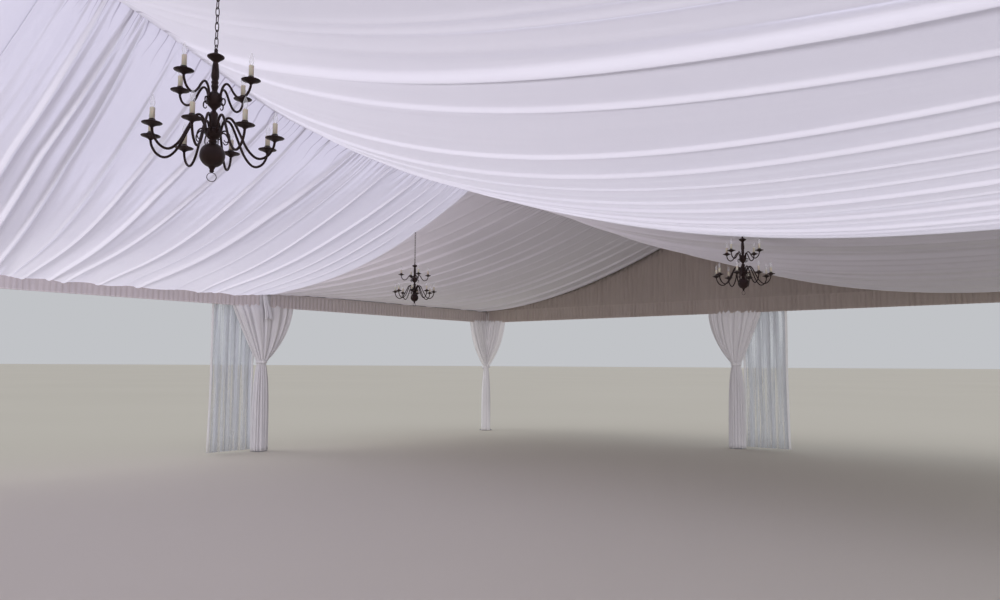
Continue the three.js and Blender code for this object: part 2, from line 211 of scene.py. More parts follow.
def surface_object(name, grids, material, replaced=(), flipped=False, thickness=0):
    """One object from grids of points. Each grid is (points, uv, around): points has the shape
    (rows, columns, 3), uv the flat place in metres, and around joins the last column to the first,
    for which uv has one more column. A thickness gives cloth its two faces and closes its edges."""
    points, faces, corners, first = [], [], [], 0
    for grid, uv, around in grids:
        rows, columns = grid.shape[:2]
        number = first + np.arange(rows * columns).reshape(rows, columns)
        if around:
            number = np.concatenate([number, number[:, :1]], axis=1)
        points.append(grid.reshape(-1, 3))
        faces.append(face_corners(number).reshape(-1, 4))
        corners.append(face_corners(uv).reshape(-1, 2))
        first += rows * columns
    points, faces, corners = (np.concatenate(part) for part in (points, faces, corners))
    if flipped:
        faces = faces[:, ::-1]
        corners = corners.reshape(-1, 4, 2)[:, ::-1].reshape(-1, 2)
    mesh = bpy.data.meshes.new(name)
    mesh.vertices.add(len(points))
    mesh.vertices.foreach_set("co", points.astype(np.float32).ravel())
    mesh.loops.add(faces.size)
    mesh.loops.foreach_set("vertex_index", faces.astype(np.int32).ravel())
    mesh.polygons.add(len(faces))
    mesh.polygons.foreach_set("loop_start", np.arange(0, faces.size, 4, dtype=np.int32))
    mesh.update(calc_edges=True)
    flat = mesh.uv_layers.new(name="cloth")
    flat.data.foreach_set("uv", corners.astype(np.float32).ravel())
    mesh.shade_smooth()
    mesh.materials.append(material)
    made = bpy.data.objects.new(name, mesh)
    bpy.context.scene.collection.objects.link(made)
    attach(made, "root")
    if replaced:
        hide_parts(*replaced)
    if thickness:
        shell = made.modifiers.new("thickness", "SOLIDIFY")
        shell.thickness = thickness
        shell.offset = 0
    return made


def grid_of(*parts):
    """One grid of points from x, y and z, or of flat places from their two lengths. A part that
    changes along the rows or the columns only is repeated along the other."""
    return np.stack(np.broadcast_arrays(*parts), axis=-1)


def flat_uv(wide, long):
    """Places on flat cloth: wide runs along the columns, long along the rows."""
    return grid_of(wide, long[:, None])


def box_of(node):
    """The lowest and the highest corner of a node's box."""
    low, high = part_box(node)
    return np.array(low), np.array(high)


def middle_of(node):
    """The middle of a node's box."""
    low, high = box_of(node)
    return [float(value) for value in (low + high) / 2]


def bell(distance, width):
    """A bell curve: e to the power of minus the square of distance over width."""
    return np.exp(-(distance / width) ** 2)


RAIL_INNER = box_of("eave_rail_right")[0][0]
FRAMES = [middle_of(f"rafters_{k}")[1] for k in (1, 2, 3, 4)]
LINING_END = float(box_of("ceiling_left_far")[1][1])
CLOTH = 0.0015
LINING_FULLNESS = 1.12
EAVE_LINING = 2.768
SEAM_HEIGHT = 3.98
SEAM_SHIFT = 1.2
SEAM_CROSSES = -1.65
SEAM_RUN = 1.95
LAP = 0.012
LAP_DROP = 0.004
CHAIN_PARTING = 0.010
ROLL_PEAK = 0.47
# Slack and the spare cloth that rolls under, each as stations of place along the tent and value.
slack_right = [(-9.15, -0.3), (-6.1, 0.1), (-3.05, 0.1), (-0.8, 1.0), (3.05, 0.5), (6.1, 1.0),
               (9.15, 0.9)]
slack_left = [(-9.15, 0.9), (-6.1, 0.8), (-3.05, 0.1), (0.0, 0.15), (3.05, 0.1), (6.1, 0.2),
              (9.15, -0.3)]
rail_roll_left = [(-9.15, 0.0), (-6.1, 0.09), (-3.05, 0.10), (0.0, 0.115), (2.4, 0.10), (3.3, 0.03),
                  (4.2, 0.0), (9.15, 0.0)]
rail_roll_right = [(-9.15, 0.0), (-6.1, 0.03), (0.0, 0.05), (3.3, 0.02), (9.15, 0.0)]


def along(stations, y):
    """Value between stations along the tent, joined by half waves of a cosine."""
    at, value = np.array(stations).T
    y = np.clip(y, at[0], at[-1])
    after = np.clip(np.searchsorted(at, y, side="right"), 1, len(at) - 1)
    share = (y - at[after - 1]) / (at[after] - at[after - 1])
    ease = 0.5 - 0.5 * np.cos(math.pi * share)
    return value[after - 1] + (value[after] - value[after - 1]) * ease


def seam_x(y):
    """The seam wanders from right of the middle to left of it as a hyperbolic tangent."""
    return -SEAM_SHIFT * np.tanh((y - SEAM_CROSSES) / SEAM_RUN)


def lining_height(s, y, side):
    """The cloth falls from the seam (s 0) to the rail (s 1) as a power of 1 - s, and where it is
    slack it also sags by a cubic that is fullest near the rail."""
    slack = along(slack_right if side > 0 else slack_left, y)
    fall = (1 - s) ** (2.1 + slack) - 0.75 * np.maximum(slack, 0) * s * s * (1 - s)
    return EAVE_LINING + (SEAM_HEIGHT - EAVE_LINING) * fall


def rail_roll(s, y, side):
    """Spare cloth that rolls below the rail: a high power of s, which turns back up at the rail."""
    deep = along(rail_roll_right if side > 0 else rail_roll_left, y)
    return deep * s ** 10 * (1 - s ** 30) / ROLL_PEAK


def drifting(low, high, count, drift, seed):
    """Folds at nearly even places from low to high that all drift the same way, less at the ends."""
    chance = np.random.default_rng(seed)
    folds = []
    for k in range(count):
        at_seam = low + (high - low) * (k + chance.uniform(0.3, 0.7)) / count
        ease = 1 - ((at_seam - low) / (high - low)) ** 6
        folds.append((at_seam, at_seam + 0.5 * drift * ease, at_seam + drift * ease,
                      chance.uniform(0.012, 0.055), chance.uniform(0.032, 0.075)))
    return folds


# Each fold is its place along the tent at the seam, halfway and at the rail, its depth and width.
# The places are where a fold shows on the smooth cloth from below, so its crest hangs nearer.
CREST_SHIFT = 2.2
deep_folds = {
    ("left", "middle"): [
        (-2.69, -2.28, -1.86, 0.044, 0.050), (-2.47, -1.99, -1.36, 0.050, 0.054),
        (-2.34, -1.76, -1.18, 0.030, 0.046), (-1.97, -1.42, -1.00, 0.012, 0.040),
        (-1.55, -1.10, -0.82, 0.030, 0.040), (-1.02, -0.74, -0.44, 0.044, 0.046),
        (-0.50, -0.43, -0.28, 0.034, 0.040), (-0.02, 0.09, 0.17, 0.028, 0.036),
        (0.42, 0.38, 0.48, 0.008, 0.035), (0.83, 0.69, 0.80, 0.044, 0.070),
        (1.16, 1.10, 1.32, 0.009, 0.030), (1.55, 1.53, 1.76, 0.024, 0.030),
        (2.10, 1.95, 2.06, 0.032, 0.038), (2.42, 2.28, 2.40, 0.016, 0.030),
        (2.66, 2.56, 2.66, 0.018, 0.028), (2.88, 2.82, 2.86, 0.014, 0.026)],
    ("right", "middle"): [
        (-2.88, -2.68, -2.42, 0.008, 0.060), (-2.76, -2.58, -2.28, 0.008, 0.045),
        (-2.62, -2.41, -2.08, 0.010, 0.100), (-2.05, -2.11, -1.88, 0.040, 0.052),
        (-1.86, -1.79, -1.46, 0.022, 0.034), (-1.33, -1.11, -1.02, 0.025, 0.036),
        (-0.92, -0.64, -0.62, 0.027, 0.040), (-0.66, -0.20, -0.14, 0.018, 0.030),
        (-0.10, 0.42, 0.22, 0.020, 0.036), (0.30, 0.88, 0.62, 0.028, 0.042),
        (0.86, 1.30, 1.02, 0.018, 0.034), (1.24, 1.72, 1.44, 0.032, 0.044),
        (1.70, 2.10, 1.84, 0.020, 0.034), (2.14, 2.46, 2.22, 0.032, 0.042),
        (2.60, 2.76, 2.64, 0.020, 0.032)],
    ("left", "far"): drifting(3.15, 8.80, 15, -2.0, 3) + [(8.98, 8.97, 8.96, 0.050, 0.075)],
    ("right", "far"): drifting(3.15, 9.05, 14, -0.3, 4),
    ("left", "near"): drifting(-9.10, -3.15, 12, 0.6, 5),
    ("right", "near"): drifting(-9.10, -3.15, 12, 0.3, 6),
}


def fold_paths(s, folds, low, high):
    """Where each fold lies at each s: a parabola through its three places, pressed softly inside
    the panel's two edges by a logarithm. The edges come first and last."""
    seam, middle, rail, depth, _ = np.array(folds).T
    path = seam * (1 - s) * (1 - 2 * s) + 4 * middle * s * (1 - s) + rail * s * (2 * s - 1)
    path = path - CREST_SHIFT * depth * np.clip(s / 0.3, 0, 1)
    soft = 0.22 * s + 0.002
    path = low + soft * np.logaddexp(0, (path - low) / soft)
    path = high - soft * np.logaddexp(0, (high - path) / soft)
    return np.concatenate([low + 0 * s, path, high + 0 * s], axis=1)


def columns_by_fold(paths, spacing):
    """Places of the columns, counted in folds. Between two folds there are as many as the distance
    asks for, and a sine draws them together beside the folds."""
    places = []
    for number, gap in enumerate(np.diff(paths[len(paths) // 2])):
        share = np.arange(0, 1, 1 / max(7, round(gap / spacing)))
        places.append(number + share - 0.125 * np.sin(2 * math.pi * share))
    places.append([paths.shape[1] - 1])
    return np.concatenate(places)


def fold_section(t):
    """Section across a fold: a rounded crest with a steep far side, a gentler near one with a long
    faint foot, and a hollow beyond."""
    crest = np.exp(-np.where(t > 0, 5.0, 4.6) * t * t)
    foot = np.exp(-0.5 * t * t) * (t < 0) + np.exp(-4.0 * t * t) * (t >= 0)
    hollow = bell(t - 1.05, 0.48)
    return 0.94 * crest + 0.06 * foot - 0.32 * hollow


def ripples(across, s, seed):
    """Shallow folds between the deep ones: five waves across the cloth, each with a steeper far
    side and a strength that comes and goes along and across it."""
    chance = np.random.default_rng(seed)
    depth = 0
    for wave, slope in ((0.46, 0.030), (0.27, 0.036), (0.19, 0.042), (0.13, 0.055), (0.10, 0.050)):
        start, bend, swell = chance.uniform(0, 6.28, 3)
        sway = 0.9 * np.sin(2.6 * s + bend) + 1.3 * np.sin(across * 1.9 + bend)
        phase = 2 * math.pi * across / wave + start + sway
        strength = 0.5 + 0.5 * np.sin(across * 3.7 / (wave + 0.6) + swell + 2.2 * s)
        section = np.sin(phase) + 0.35 * np.sin(2 * phase + 0.9)
        depth = depth + slope * wave / (2 * math.pi) * strength * section
    return depth


def heading_tucks(across, to_seam, seed):
    """Short tucks that a gathered heading pinches into the cloth, each fading as an exponential."""
    chance = np.random.default_rng(seed)
    raised = 0
    place = across.min() + 0.05
    while place < across.max():
        run = chance.uniform(0.08, 0.24)
        pinch = chance.uniform(0.006, 0.014)
        raised = raised + pinch * bell(across - place - 0.05 * to_seam, 0.016) * np.exp(-to_seam / run)
        place += chance.uniform(0.07, 0.19)
    return raised


def lining_cloth():
    """Sheer woven cloth: cool white with a soft sheen, fine creases along the folds, painted shade in
    the pinches under the heading, and a weave."""
    finish = Finish("lining cloth", Sheen_Weight=0.2, Sheen_Roughness=0.4, Specular_IOR_Level=0.25)
    cloth = finish.cloth_place()
    tone = finish.streaks(cloth, (5, 0.5, 1), 3)
    patch = finish.noise(finish.place(), 0.35, 2)
    crease = finish.streaks(cloth, (24, 0.7, 1), 4, 0.6)
    tuck = finish.node("TexWave", {"wave_type": "BANDS", "bands_direction": "X"},
                       {"Vector": cloth, "Scale": 2.6, "Distortion": 5.0, "Detail": 1.0,
                        "Detail Scale": 0.8})
    # The pinches beside the seam are painted shade: a dark grey mixed into the colour where the heading
    # gathers the cloth.
    pinch = finish.ramp(tuck, 0.955, 0.0, 0.99, 1.0)
    from_seam = finish.node("SeparateXYZ", inputs={"Vector": cloth}, output=1)
    reach = finish.streaks(cloth, (5, 0.3, 1), 1)
    near_seam = finish.node("MapRange", inputs={"Value": from_seam, "From Min": 0.03,
                                                "From Max": reach * 0.7, "To Min": 0.85, "To Max": 0.0})
    warp, weft = finish.threads(cloth, "X", 110.0), finish.threads(cloth, "Y", 110.0)
    shade = tone * 0.5 + patch * 0.3 + crease * 0.2
    plain = finish.between(shade, (0.77, 0.755, 0.83), (0.86, 0.85, 0.91))
    # Painted shade: the pinch bands near the seam darken the cloth's base colour.
    pinch_shaded_color = finish.node("Mix", {"data_type": "RGBA"},
                          {0: pinch * near_seam, 6: plain, 7: (0.42, 0.39, 0.46, 1)}, output=2)
    return finish.surface(
        Base_Color=pinch_shaded_color,
        Roughness=0.6 + tone * 0.2,
        Normal=finish.bump(crease * 0.9 + warp * weft * 0.1, 0.003, 0.3))


lining = lining_cloth()
panel_ends = {
    "near": (-LINING_END, FRAMES[1] - 0.001),
    "middle": (FRAMES[1] - LAP, FRAMES[2] + LAP),
    "far": (FRAMES[2] + 0.001, LINING_END),
}
panel_rows = {"near": 30, "middle": 62, "far": 42}
panel_spacing = {"near": 0.030, "middle": 0.0135, "far": 0.021}
chain_places = [middle_of(f"chandelier_{number}")[:2] for number in (1, 2, 3, 4)]


def ceiling_panel(side_name, bay, seed):
    """One panel: s runs from the seam to the rail along the rows, and the columns follow the folds.
    The right panel overlaps the left one at the seam, and rolls under beside it."""
    side = 1 if side_name == "right" else -1
    low, high = panel_ends[bay]
    even = np.linspace(0, 1, panel_rows[bay])
    eased = even - 0.09 * np.sin(2 * math.pi * even)
    s = np.concatenate([[0, 0.0012, 0.003, 0.0055], 0.009 + 0.982 * eased, [0.9955, 0.998, 1]])[:, None]
    folds = deep_folds[side_name, bay]
    paths = fold_paths(s, folds, low, high)
    column = columns_by_fold(paths, panel_spacing[bay])
    before = np.minimum(column.astype(int), paths.shape[1] - 2)
    share = column - before
    y = paths[:, before] * (1 - share) + paths[:, before + 1] * share
    across = np.broadcast_to(y[len(y) // 2], y.shape)
    start = seam_x(y) + (-0.010 if side > 0 else -0.0009)
    end = side * (RAIL_INNER - 0.0005)
    x = start + (end - start) * s
    to_seam = np.abs(x - start)
    to_rail = np.abs(end - x)
    to_edge = np.minimum(y - low, high - y)
    from_seam_fill = 0.2 + 0.8 * np.clip(to_seam / 1.1, 0, 1) ** 0.8
    fill = from_seam_fill * (0.5 + 0.5 * np.clip(to_rail / 0.9, 0, 1))
    narrow = 1 - 0.3 * np.exp(-to_rail / 0.7) - 0.25 * np.exp(-to_seam / 0.5)
    strength = 0.45 if side < 0 else 0.9 + 0.5 * np.tanh(across + 0.3)
    drop = ripples(across, s, seed) * np.clip(to_seam / 0.3, 0, 1) * strength
    lean = np.zeros_like(y)
    for number, fold in enumerate(folds):
        width = fold[4] * narrow * (0.9 if side < 0 else 1.0)
        section = fold_section((y - paths[:, number + 1:number + 2]) / width)
        depth = fold[3] * fill * (0.78 if side < 0 else 1.0)
        drop = drop + depth * section
        lean = lean + 0.5 * depth * np.clip(section, 0, 1) ** 2
    inside = np.clip(to_edge / 0.10, 0, 1)
    drop = drop * inside
    for chain_x, chain_y in chain_places:
        away = np.hypot(x - chain_x, y - chain_y)
        drop = drop * (1 - np.exp(-(away / 0.33) ** 4))
    z = lining_height(s, y, side) - rail_roll(s, y, side) * (1 + 0.10 * np.sin(across * 9.0)) - drop
    z = z + heading_tucks(across, to_seam, seed + 50) * (1.0 if side < 0 else 0.35)
    at_edge = bell(to_edge, 0.03) * np.clip(to_seam / 0.2, 0, 1)
    z = z + (-LAP_DROP if bay == "middle" else LAP_DROP) * at_edge
    if side > 0:
        z = z - 0.010 * np.exp(-to_seam / 0.02) - 0.016 * bell(to_seam - 0.05, 0.035)
    y = y + lean * inside
    parting = CHAIN_PARTING + (LAP if bay == "middle" else 0)
    for chain_x, chain_y in chain_places:
        parted = parting * bell(x - chain_x, 0.08) * bell(y - chain_y, 0.06)
        y = y + math.copysign(1, (low + high) / 2 - chain_y) * parted
    wide = LINING_FULLNESS * (across[0] - low)
    grid = (grid_of(x, y, z), grid_of(wide, to_seam), False)
    made = surface_object(f"lining_{side_name}_{bay}", [grid], lining,
                          [f"ceiling_{side_name}_{bay}"], flipped=side < 0, thickness=CLOTH)
    LINING_FULLNESS * (high - low)


for number, (side_name, bay) in enumerate(deep_folds):
    ceiling_panel(side_name, bay, 11 + number)


# The gable linings close the triangle between the ceiling lining and the rail at both ends. Each is
# a band of the same cloth gathered into fine upright pleats on a tape at the rail, and it runs on
# below the tape as a valance with a hem.
VALANCE_LOW = 2.5
TAPE_HEIGHT = 2.775
PLEAT = 0.105
VALANCE_PLEAT = 0.083
PLEAT_FULLNESS = 1.35


def pleats(u, height, pitch, seed):
    """Pleats across u: a wave whose phase wanders, sharpened to narrow crests. It changes slowly
    with height, so that some pleats part and others close."""
    chance = np.random.default_rng(seed)
    phase = 2 * math.pi * u / pitch
    for _ in range(7):
        run = chance.uniform(0.25, 2.4)
        sway = chance.uniform(0.25, 0.8)
        phase = phase + sway * np.sin(2 * math.pi * u / run + chance.uniform(0, 6.3))
    phase = phase + 0.5 * np.sin(height * 3.1 + u * 2.0)
    swell = 0.75 + 0.25 * np.sin(u * 9.7 + height * 1.3)
    return swell * (np.sin(phase) + 0.3 * np.sin(2 * phase + 1.1))


def pleated_cloth_painted_shaded():
    """The same woven cloth in painted shade: darker and warmer than the lining. Painted light makes it
    lighter below the tape, and it is lighter at its hem."""
    finish = Finish("pleated cloth", Sheen_Weight=0.2, Sheen_Roughness=0.5)
    cloth = finish.cloth_place()
    streak = finish.streaks(cloth, (30, 0.8, 1), 4, 0.6)
    patch = finish.noise(finish.place(), 0.8, 2)
    weave = finish.threads(cloth, "Y", 120.0)
    height = finish.node("SeparateXYZ", inputs={"Vector": cloth}, output=1)
    # Painted light: below the tape the cloth is made lighter, as if it caught light from below; the hem
    # is lighter as well.
    lighter = (1 - height.above(TAPE_HEIGHT)) * 0.25 + (1 - height.above(VALANCE_LOW + 0.02)) * 0.35
    shade = streak * 0.6 + patch * 0.25 + lighter
    # Painted shade: both base colours are darker and warmer than the lining's, for the shade the gables
    # and valances hang in.
    return finish.surface(
        Base_Color=finish.between(shade, (0.47, 0.40, 0.37), (0.72, 0.63, 0.585)),
        Roughness=0.65 + streak * 0.2,
        Normal=finish.bump(streak * 0.9 + weave * 0.1, 0.003, 0.6))


pleated = pleated_cloth_painted_shaded()


def gable_lining(name, sign):
    """x runs along the columns. The rows rise from the hem over the tape to the ceiling lining."""
    end = RAIL_INNER - 0.033
    x = np.linspace(-end, end, 800)
    face = sign * LINING_END
    seam = float(seam_x(np.array(face)))
    share = np.where(x < seam, (seam - x) / (seam + RAIL_INNER), (x - seam) / (RAIL_INNER - seam))
    share = np.clip(share, 0, 1)
    top = np.where(x < seam, lining_height(share, face, -1), lining_height(share, face, 1)) + 0.02
    hem = np.array([VALANCE_LOW, VALANCE_LOW + 0.012, VALANCE_LOW + 0.022, VALANCE_LOW + 0.1,
                    TAPE_HEIGHT - 0.03, TAPE_HEIGHT - 0.012, TAPE_HEIGHT])
    lift = np.linspace(0, 1, 7)[1:, None]
    above_tape = TAPE_HEIGHT + lift * np.maximum(top - TAPE_HEIGHT, 0.012)
    z = np.concatenate([hem[:, None] + 0 * x, above_tape])
    gathered = 1 - 0.65 * bell(z - TAPE_HEIGHT, 0.02)
    below = np.clip((TAPE_HEIGHT + 0.004 - z) / 0.008, 0, 1)
    upper = 0.0120 * pleats(x, z, PLEAT, 5)
    lower = 0.0145 * pleats(x, z, VALANCE_PLEAT, 6) + 0.006
    depth = gathered * (upper * (1 - below) + lower * below)
    header = 0.010 * bell(z - TAPE_HEIGHT, 0.010)
    hem_roll = 0.002 * bell(z - VALANCE_LOW - 0.012, 0.006)
    y = sign * (abs(face) + 0.0155 - depth - header - hem_roll)
    grid = (grid_of(x, y, z), grid_of(PLEAT_FULLNESS * x, z), False)
    made = surface_object(f"gable_pleats_{name}", [grid], pleated,
                          [f"gable_lining_{name}"], flipped=sign < 0, thickness=CLOTH)
    width, height = PLEAT_FULLNESS * 2 * end, 1.55
    0.42 * width * height


gable_lining("near", -1)
gable_lining("far", 1)


# A valance of the same pleated cloth hangs along each side from a header tape, in three bands that
# stop short of the middle legs, where the leg drapes come through.
def valance(name, side):
    """The pleats' wave gives the bands' depth, and a straight ramp draws it in under the tape."""
    low, high = box_of(f"valance_{name}")
    opening = 0.11
    tape = 0.02
    middle = middle_of(f"valance_{name}")[0]
    grids = []
    ends = [(low[1], FRAMES[1] - opening), (FRAMES[1] + opening, FRAMES[2] - opening),
            (FRAMES[2] + opening, high[1])]
    for number, (y0, y1) in enumerate(ends):
        y = np.linspace(y0, y1, 400)
        z = low[2] + np.array([0, 0.012, 0.02, 0.10, 0.212, 0.237, 0.255])[:, None]
        gathered = 1 - 0.7 * np.clip((z - high[2] + 0.05) / 0.03, 0, 1)
        depth = 0.011 * gathered * pleats(y, z, VALANCE_PLEAT, 20 + number)
        hem_roll = 0.002 * bell(z - low[2] - 0.012, 0.006)
        points = grid_of(middle - side * (depth + hem_roll + 0.004), y, z)
        grids.append((points, grid_of(PLEAT_FULLNESS * y, z), False))
    z = high[2] - tape + np.linspace(0, tape, 3)[:, None]
    points = grid_of(middle - side * 0.0135, np.linspace(low[1], high[1], 60), z)
    grids.append((points, points[..., 1:], False))
    made = surface_object(f"valance_pleats_{name}", grids, pleated,
                          [f"valance_{name}"], flipped=side > 0, thickness=CLOTH)


valance("left", -1)
valance("right", 1)


# Each leg wears a drape: a wide sheet of sheer cloth headed under the rail behind the valances,
# drawn in to a sash tied round the leg at about 1.5 m, and hanging free below it to the ground. The
# side next to a clear curtain is drawn straight, and the other one bellies out.
RAIL_LOW = box_of("eave_rail_right")[0][2]
HEADING = RAIL_LOW - 0.002
DRAPE_LOW = 0.012
TIE_HEIGHT = 1.50


def drape_cloth():
    """Sheer white cloth with soft long creases that darken a little, lighter at its side hems."""
    finish = Finish("drape cloth", Sheen_Weight=0.25, Sheen_Roughness=0.35, Specular_IOR_Level=0.3)
    cloth = finish.cloth_place()
    streak = finish.streaks(cloth, (16, 0.9, 1), 4, 0.6)
    patch = finish.noise(finish.place(), 2.2, 2)
    weave = finish.threads(cloth, "Y", 130.0)
    wide = finish.node("SeparateXYZ", inputs={"Vector": cloth}, output=0)
    hem = wide.above(1.60) + (1 - wide.above(0.10))
    return finish.surface(
        Base_Color=finish.between(streak * 0.6 + patch * 0.2 + hem * 0.5, (0.66, 0.635, 0.655),
                                  (0.88, 0.86, 0.88)),
        Roughness=0.5 + streak * 0.2,
        Normal=finish.bump(streak * 0.9 + weave * 0.1, 0.005, 0.6))


drape_finish = drape_cloth()


def opening_out(z, tie):
    """How far up from the tie to the heading, 0 to 1, and how far down from the tie in metres."""
    return np.clip((z - tie) / (HEADING - tie), 0, 1), np.clip(tie - z, 0, None)


def drape_reach(z, tie, straight, spread):
    """Reach to one side: from the tie up it grows in a nearly straight line beside a curtain, and
    else along a parabola that bellies out. Below the tie it opens a little and hangs straight."""
    up, down = opening_out(z, tie)
    grown = 0.62 * up ** 0.92 if straight else 0.56 * (1 - (1 - up) ** 2.3)
    return 0.070 + spread * grown + 0.075 * (1 - np.exp(-down / 0.35))


def drape_section(z, tie):
    """Reach into the tent and depth of the folds. Behind the valances the cloth lies flat."""
    up, down = opening_out(z, tie)
    inward = 0.062 + 0.045 * (1 - np.exp(-up / 0.10)) + 0.055 * (1 - np.exp(-down / 0.5))
    behind = np.clip((z - VALANCE_LOW + 0.03) / 0.03, 0, 1)
    inward = inward * (1 - behind) + 0.040 * behind
    depth = 0.012 + 0.019 * (1 - np.exp(-up / 0.25)) + 0.012 * (1 - np.exp(-down / 0.2))
    return inward, depth * (1 - 0.9 * behind)


def drape_heights(rows, tie):
    """Rows from the ground to the heading, drawn together at the tie."""
    share = np.linspace(0, 1, rows)
    even = DRAPE_LOW + (HEADING - DRAPE_LOW) * share
    return even - 0.05 * np.sin(2 * math.pi * (even - tie) / 1.25) * bell(even - tie, 0.5)


def middle_drape(tie, straight_side, spread, seed):
    """u runs round the leg from one side of the sheet to the other and z up it, half an ellipse
    round the leg's inner side. Returns places along the rail and into the tent."""
    u = np.linspace(-1, 1, 104)
    z = drape_heights(32, tie)[:, None]
    reach = np.where(u * straight_side > 0, drape_reach(z, tie, True, spread),
                     drape_reach(z, tie, False, spread))
    inward, depth = drape_section(z, tie)
    up, _ = opening_out(z, tie)
    wave = pleats(u * 5.0, z * 0.5, 1.0, seed)
    angle = u * math.radians(108)
    a = reach * np.sin(angle)
    b = inward * np.cos(angle) * (1 - 0.35 * up * np.cos(angle)) + 0.012 * up
    out_a, out_b = np.sin(angle) * inward, np.cos(angle) * reach
    size = np.hypot(out_a, out_b) + 1e-6
    slim = np.clip((1 - np.abs(u)) / 0.08, 0, 1)
    edge = 0.022 * up * bell(np.abs(u) - 0.90, 0.05)
    return a + depth * slim * wave * out_a / size, b + (depth * slim * wave + edge) * out_b / size, z


def corner_drape(tie, seed):
    """The same for a corner leg: the sheet follows both rails and bends round the leg."""
    u = np.linspace(-1, 1, 126)
    z = drape_heights(32, tie)[:, None]
    reach = drape_reach(z, tie, False, 0.92)
    inward, depth = drape_section(z, tie)
    up, _ = opening_out(z, tie)
    wave = depth * pleats(u * 6.5, z * 0.5, 1.0, seed)
    bend = np.clip(np.abs(u) * 1.08 - 0.08, 0, 1)
    run = reach * bend ** (1 - 0.25 * up)
    sink = inward * (1 - np.exp(-12 * (1 - bend)))
    turn = 0.4 * inward * bell(u, 0.12)
    first = u > 0
    a = np.where(first, run, sink) + turn + wave * np.where(first, 0.25, 1.0)
    b = np.where(first, sink, run) + turn + wave * np.where(first, 1.0, 0.25)
    return a, b, z


def angles(steps):
    """Even steps round a full turn."""
    return np.linspace(0, 2 * math.pi, steps, endpoint=False)


def sash(reach, inward, z):
    """A narrow band of cloth round the gathered drape, with soft creases along it."""
    angle = angles(40)
    lift = np.linspace(-0.026, 0.026, 9)[:, None]
    round_out = 0.012 * np.cos(lift / 0.026 * math.pi / 2) + 0.0025 * np.sin(150 * lift + 3 * angle)
    a = (reach + round_out) * np.sin(angle)
    b = (inward + round_out) * np.cos(angle)
    return a, b, z + lift + 0.008 * np.cos(angle)


def tail(seed):
    """The loose end of the heading tie: a ruffled strip that widens as it falls before the leg."""
    u = np.linspace(-1, 1, 26)
    down = np.linspace(0, 1, 12)[:, None]
    wave = pleats(u * 2.2, down * 0.6, 1.0, seed)
    a = u * (0.026 + 0.040 * down ** 0.6) + 0.016 * np.sin(4.2 * down + seed)
    b = 0.076 + 0.095 * down + (0.006 + 0.010 * down) * wave
    return a, b, RAIL_LOW + 0.012 - 0.46 * down - 0.012 * u * u


def place_drape(name, x, y, run, room, kind, seed):
    """run is the direction along the rail, room the one into the tent. kind is "corner", or the
    side of the curtain, 1 or -1."""
    tie = TIE_HEIGHT + 0.05 * math.sin(seed * 1.7)
    corner = kind == "corner"
    spread = 1.0 if room[0] else 0.80
    parts = [(*(corner_drape(tie, seed) if corner else middle_drape(tie, kind, spread, seed)), False),
             (*sash(0.088, 0.078, tie), True)]
    if not corner and abs(room[0]) > 0:
        parts.append((*tail(seed), False))
    grids = []
    for part_a, part_b, part_z, around in parts:
        points = grid_of(x + part_a * run[0] + part_b * room[0],
                         y + part_a * run[1] + part_b * room[1], part_z)
        wide = np.linspace(0, 1.7, points.shape[1] + int(around))
        grids.append((points, flat_uv(wide, points[:, 0, 2]), around))
    made = surface_object(f"leg_cloth_{name}", grids, drape_finish, [f"drape_{name}"],
                          flipped=run[0] * room[1] - run[1] * room[0] > 0, thickness=CLOTH)


leg_names = [f"{side}_{k}" for side in ("left", "right") for k in (1, 2, 3, 4)]
leg_places = {leg: middle_of(f"leg_{leg}")[:2] for leg in (*leg_names, "gable_near", "gable_far")}
for number, (leg, (x, y)) in enumerate(leg_places.items()):
    toward_x, toward_y = -math.copysign(1, x), -math.copysign(1, y)
    if abs(x) < 0.01:
        place_drape(leg, x, y, (1, 0), (0, toward_y), -toward_y, 40 + number)
    elif abs(abs(y) - FRAMES[3]) < 0.01:
        place_drape(leg, x, y, (0, toward_y), (toward_x, 0), "corner", 40 + number)
    else:
        place_drape(leg, x, y, (0, 1), (toward_x, 0), -toward_x, 40 + number)


# Clear side curtains of soft vinyl hang outside the rails on small rings, drawn into upright folds
# beside each middle leg, with a white hem down both edges and a strip of tape along the top.
def clear_vinyl():
    """Soft clear sheet: pale blue-grey, and milky along its upright creases."""
    finish = Finish("clear vinyl", Roughness=0.12, IOR=1.45)
    cloth = finish.cloth_place()
    streak = finish.streaks(cloth, (9, 0.3, 1), 3, 0.6)
    return finish.surface(
        Base_Color=finish.between(streak, (0.46, 0.51, 0.58), (0.86, 0.88, 0.91)),
        Alpha=finish.ramp(streak, 0.40, 0.14, 0.60, 0.80),
        Normal=finish.bump(streak, 0.008, 0.8))


def white_hem():
    """White coated tape with a fine weave."""
    finish = Finish("white hem", Roughness=0.5)
    weave = finish.noise(finish.place(), 900.0, 2)
    return finish.surface(
        Base_Color=finish.between(weave, (0.84, 0.83, 0.84), (0.93, 0.93, 0.92)),
        Normal=finish.bump(weave, 0.0004, 0.6))


def zinc_steel():
    """Zinc-plated wire and fittings, slightly mottled."""
    finish = Finish("zinc steel", Metallic=0.9)
    mottle = finish.noise(finish.place(), 120.0, 3)
    return finish.surface(
        Base_Color=finish.between(mottle, (0.42, 0.43, 0.45), (0.62, 0.63, 0.65)),
        Roughness=0.3 + mottle * 0.25)


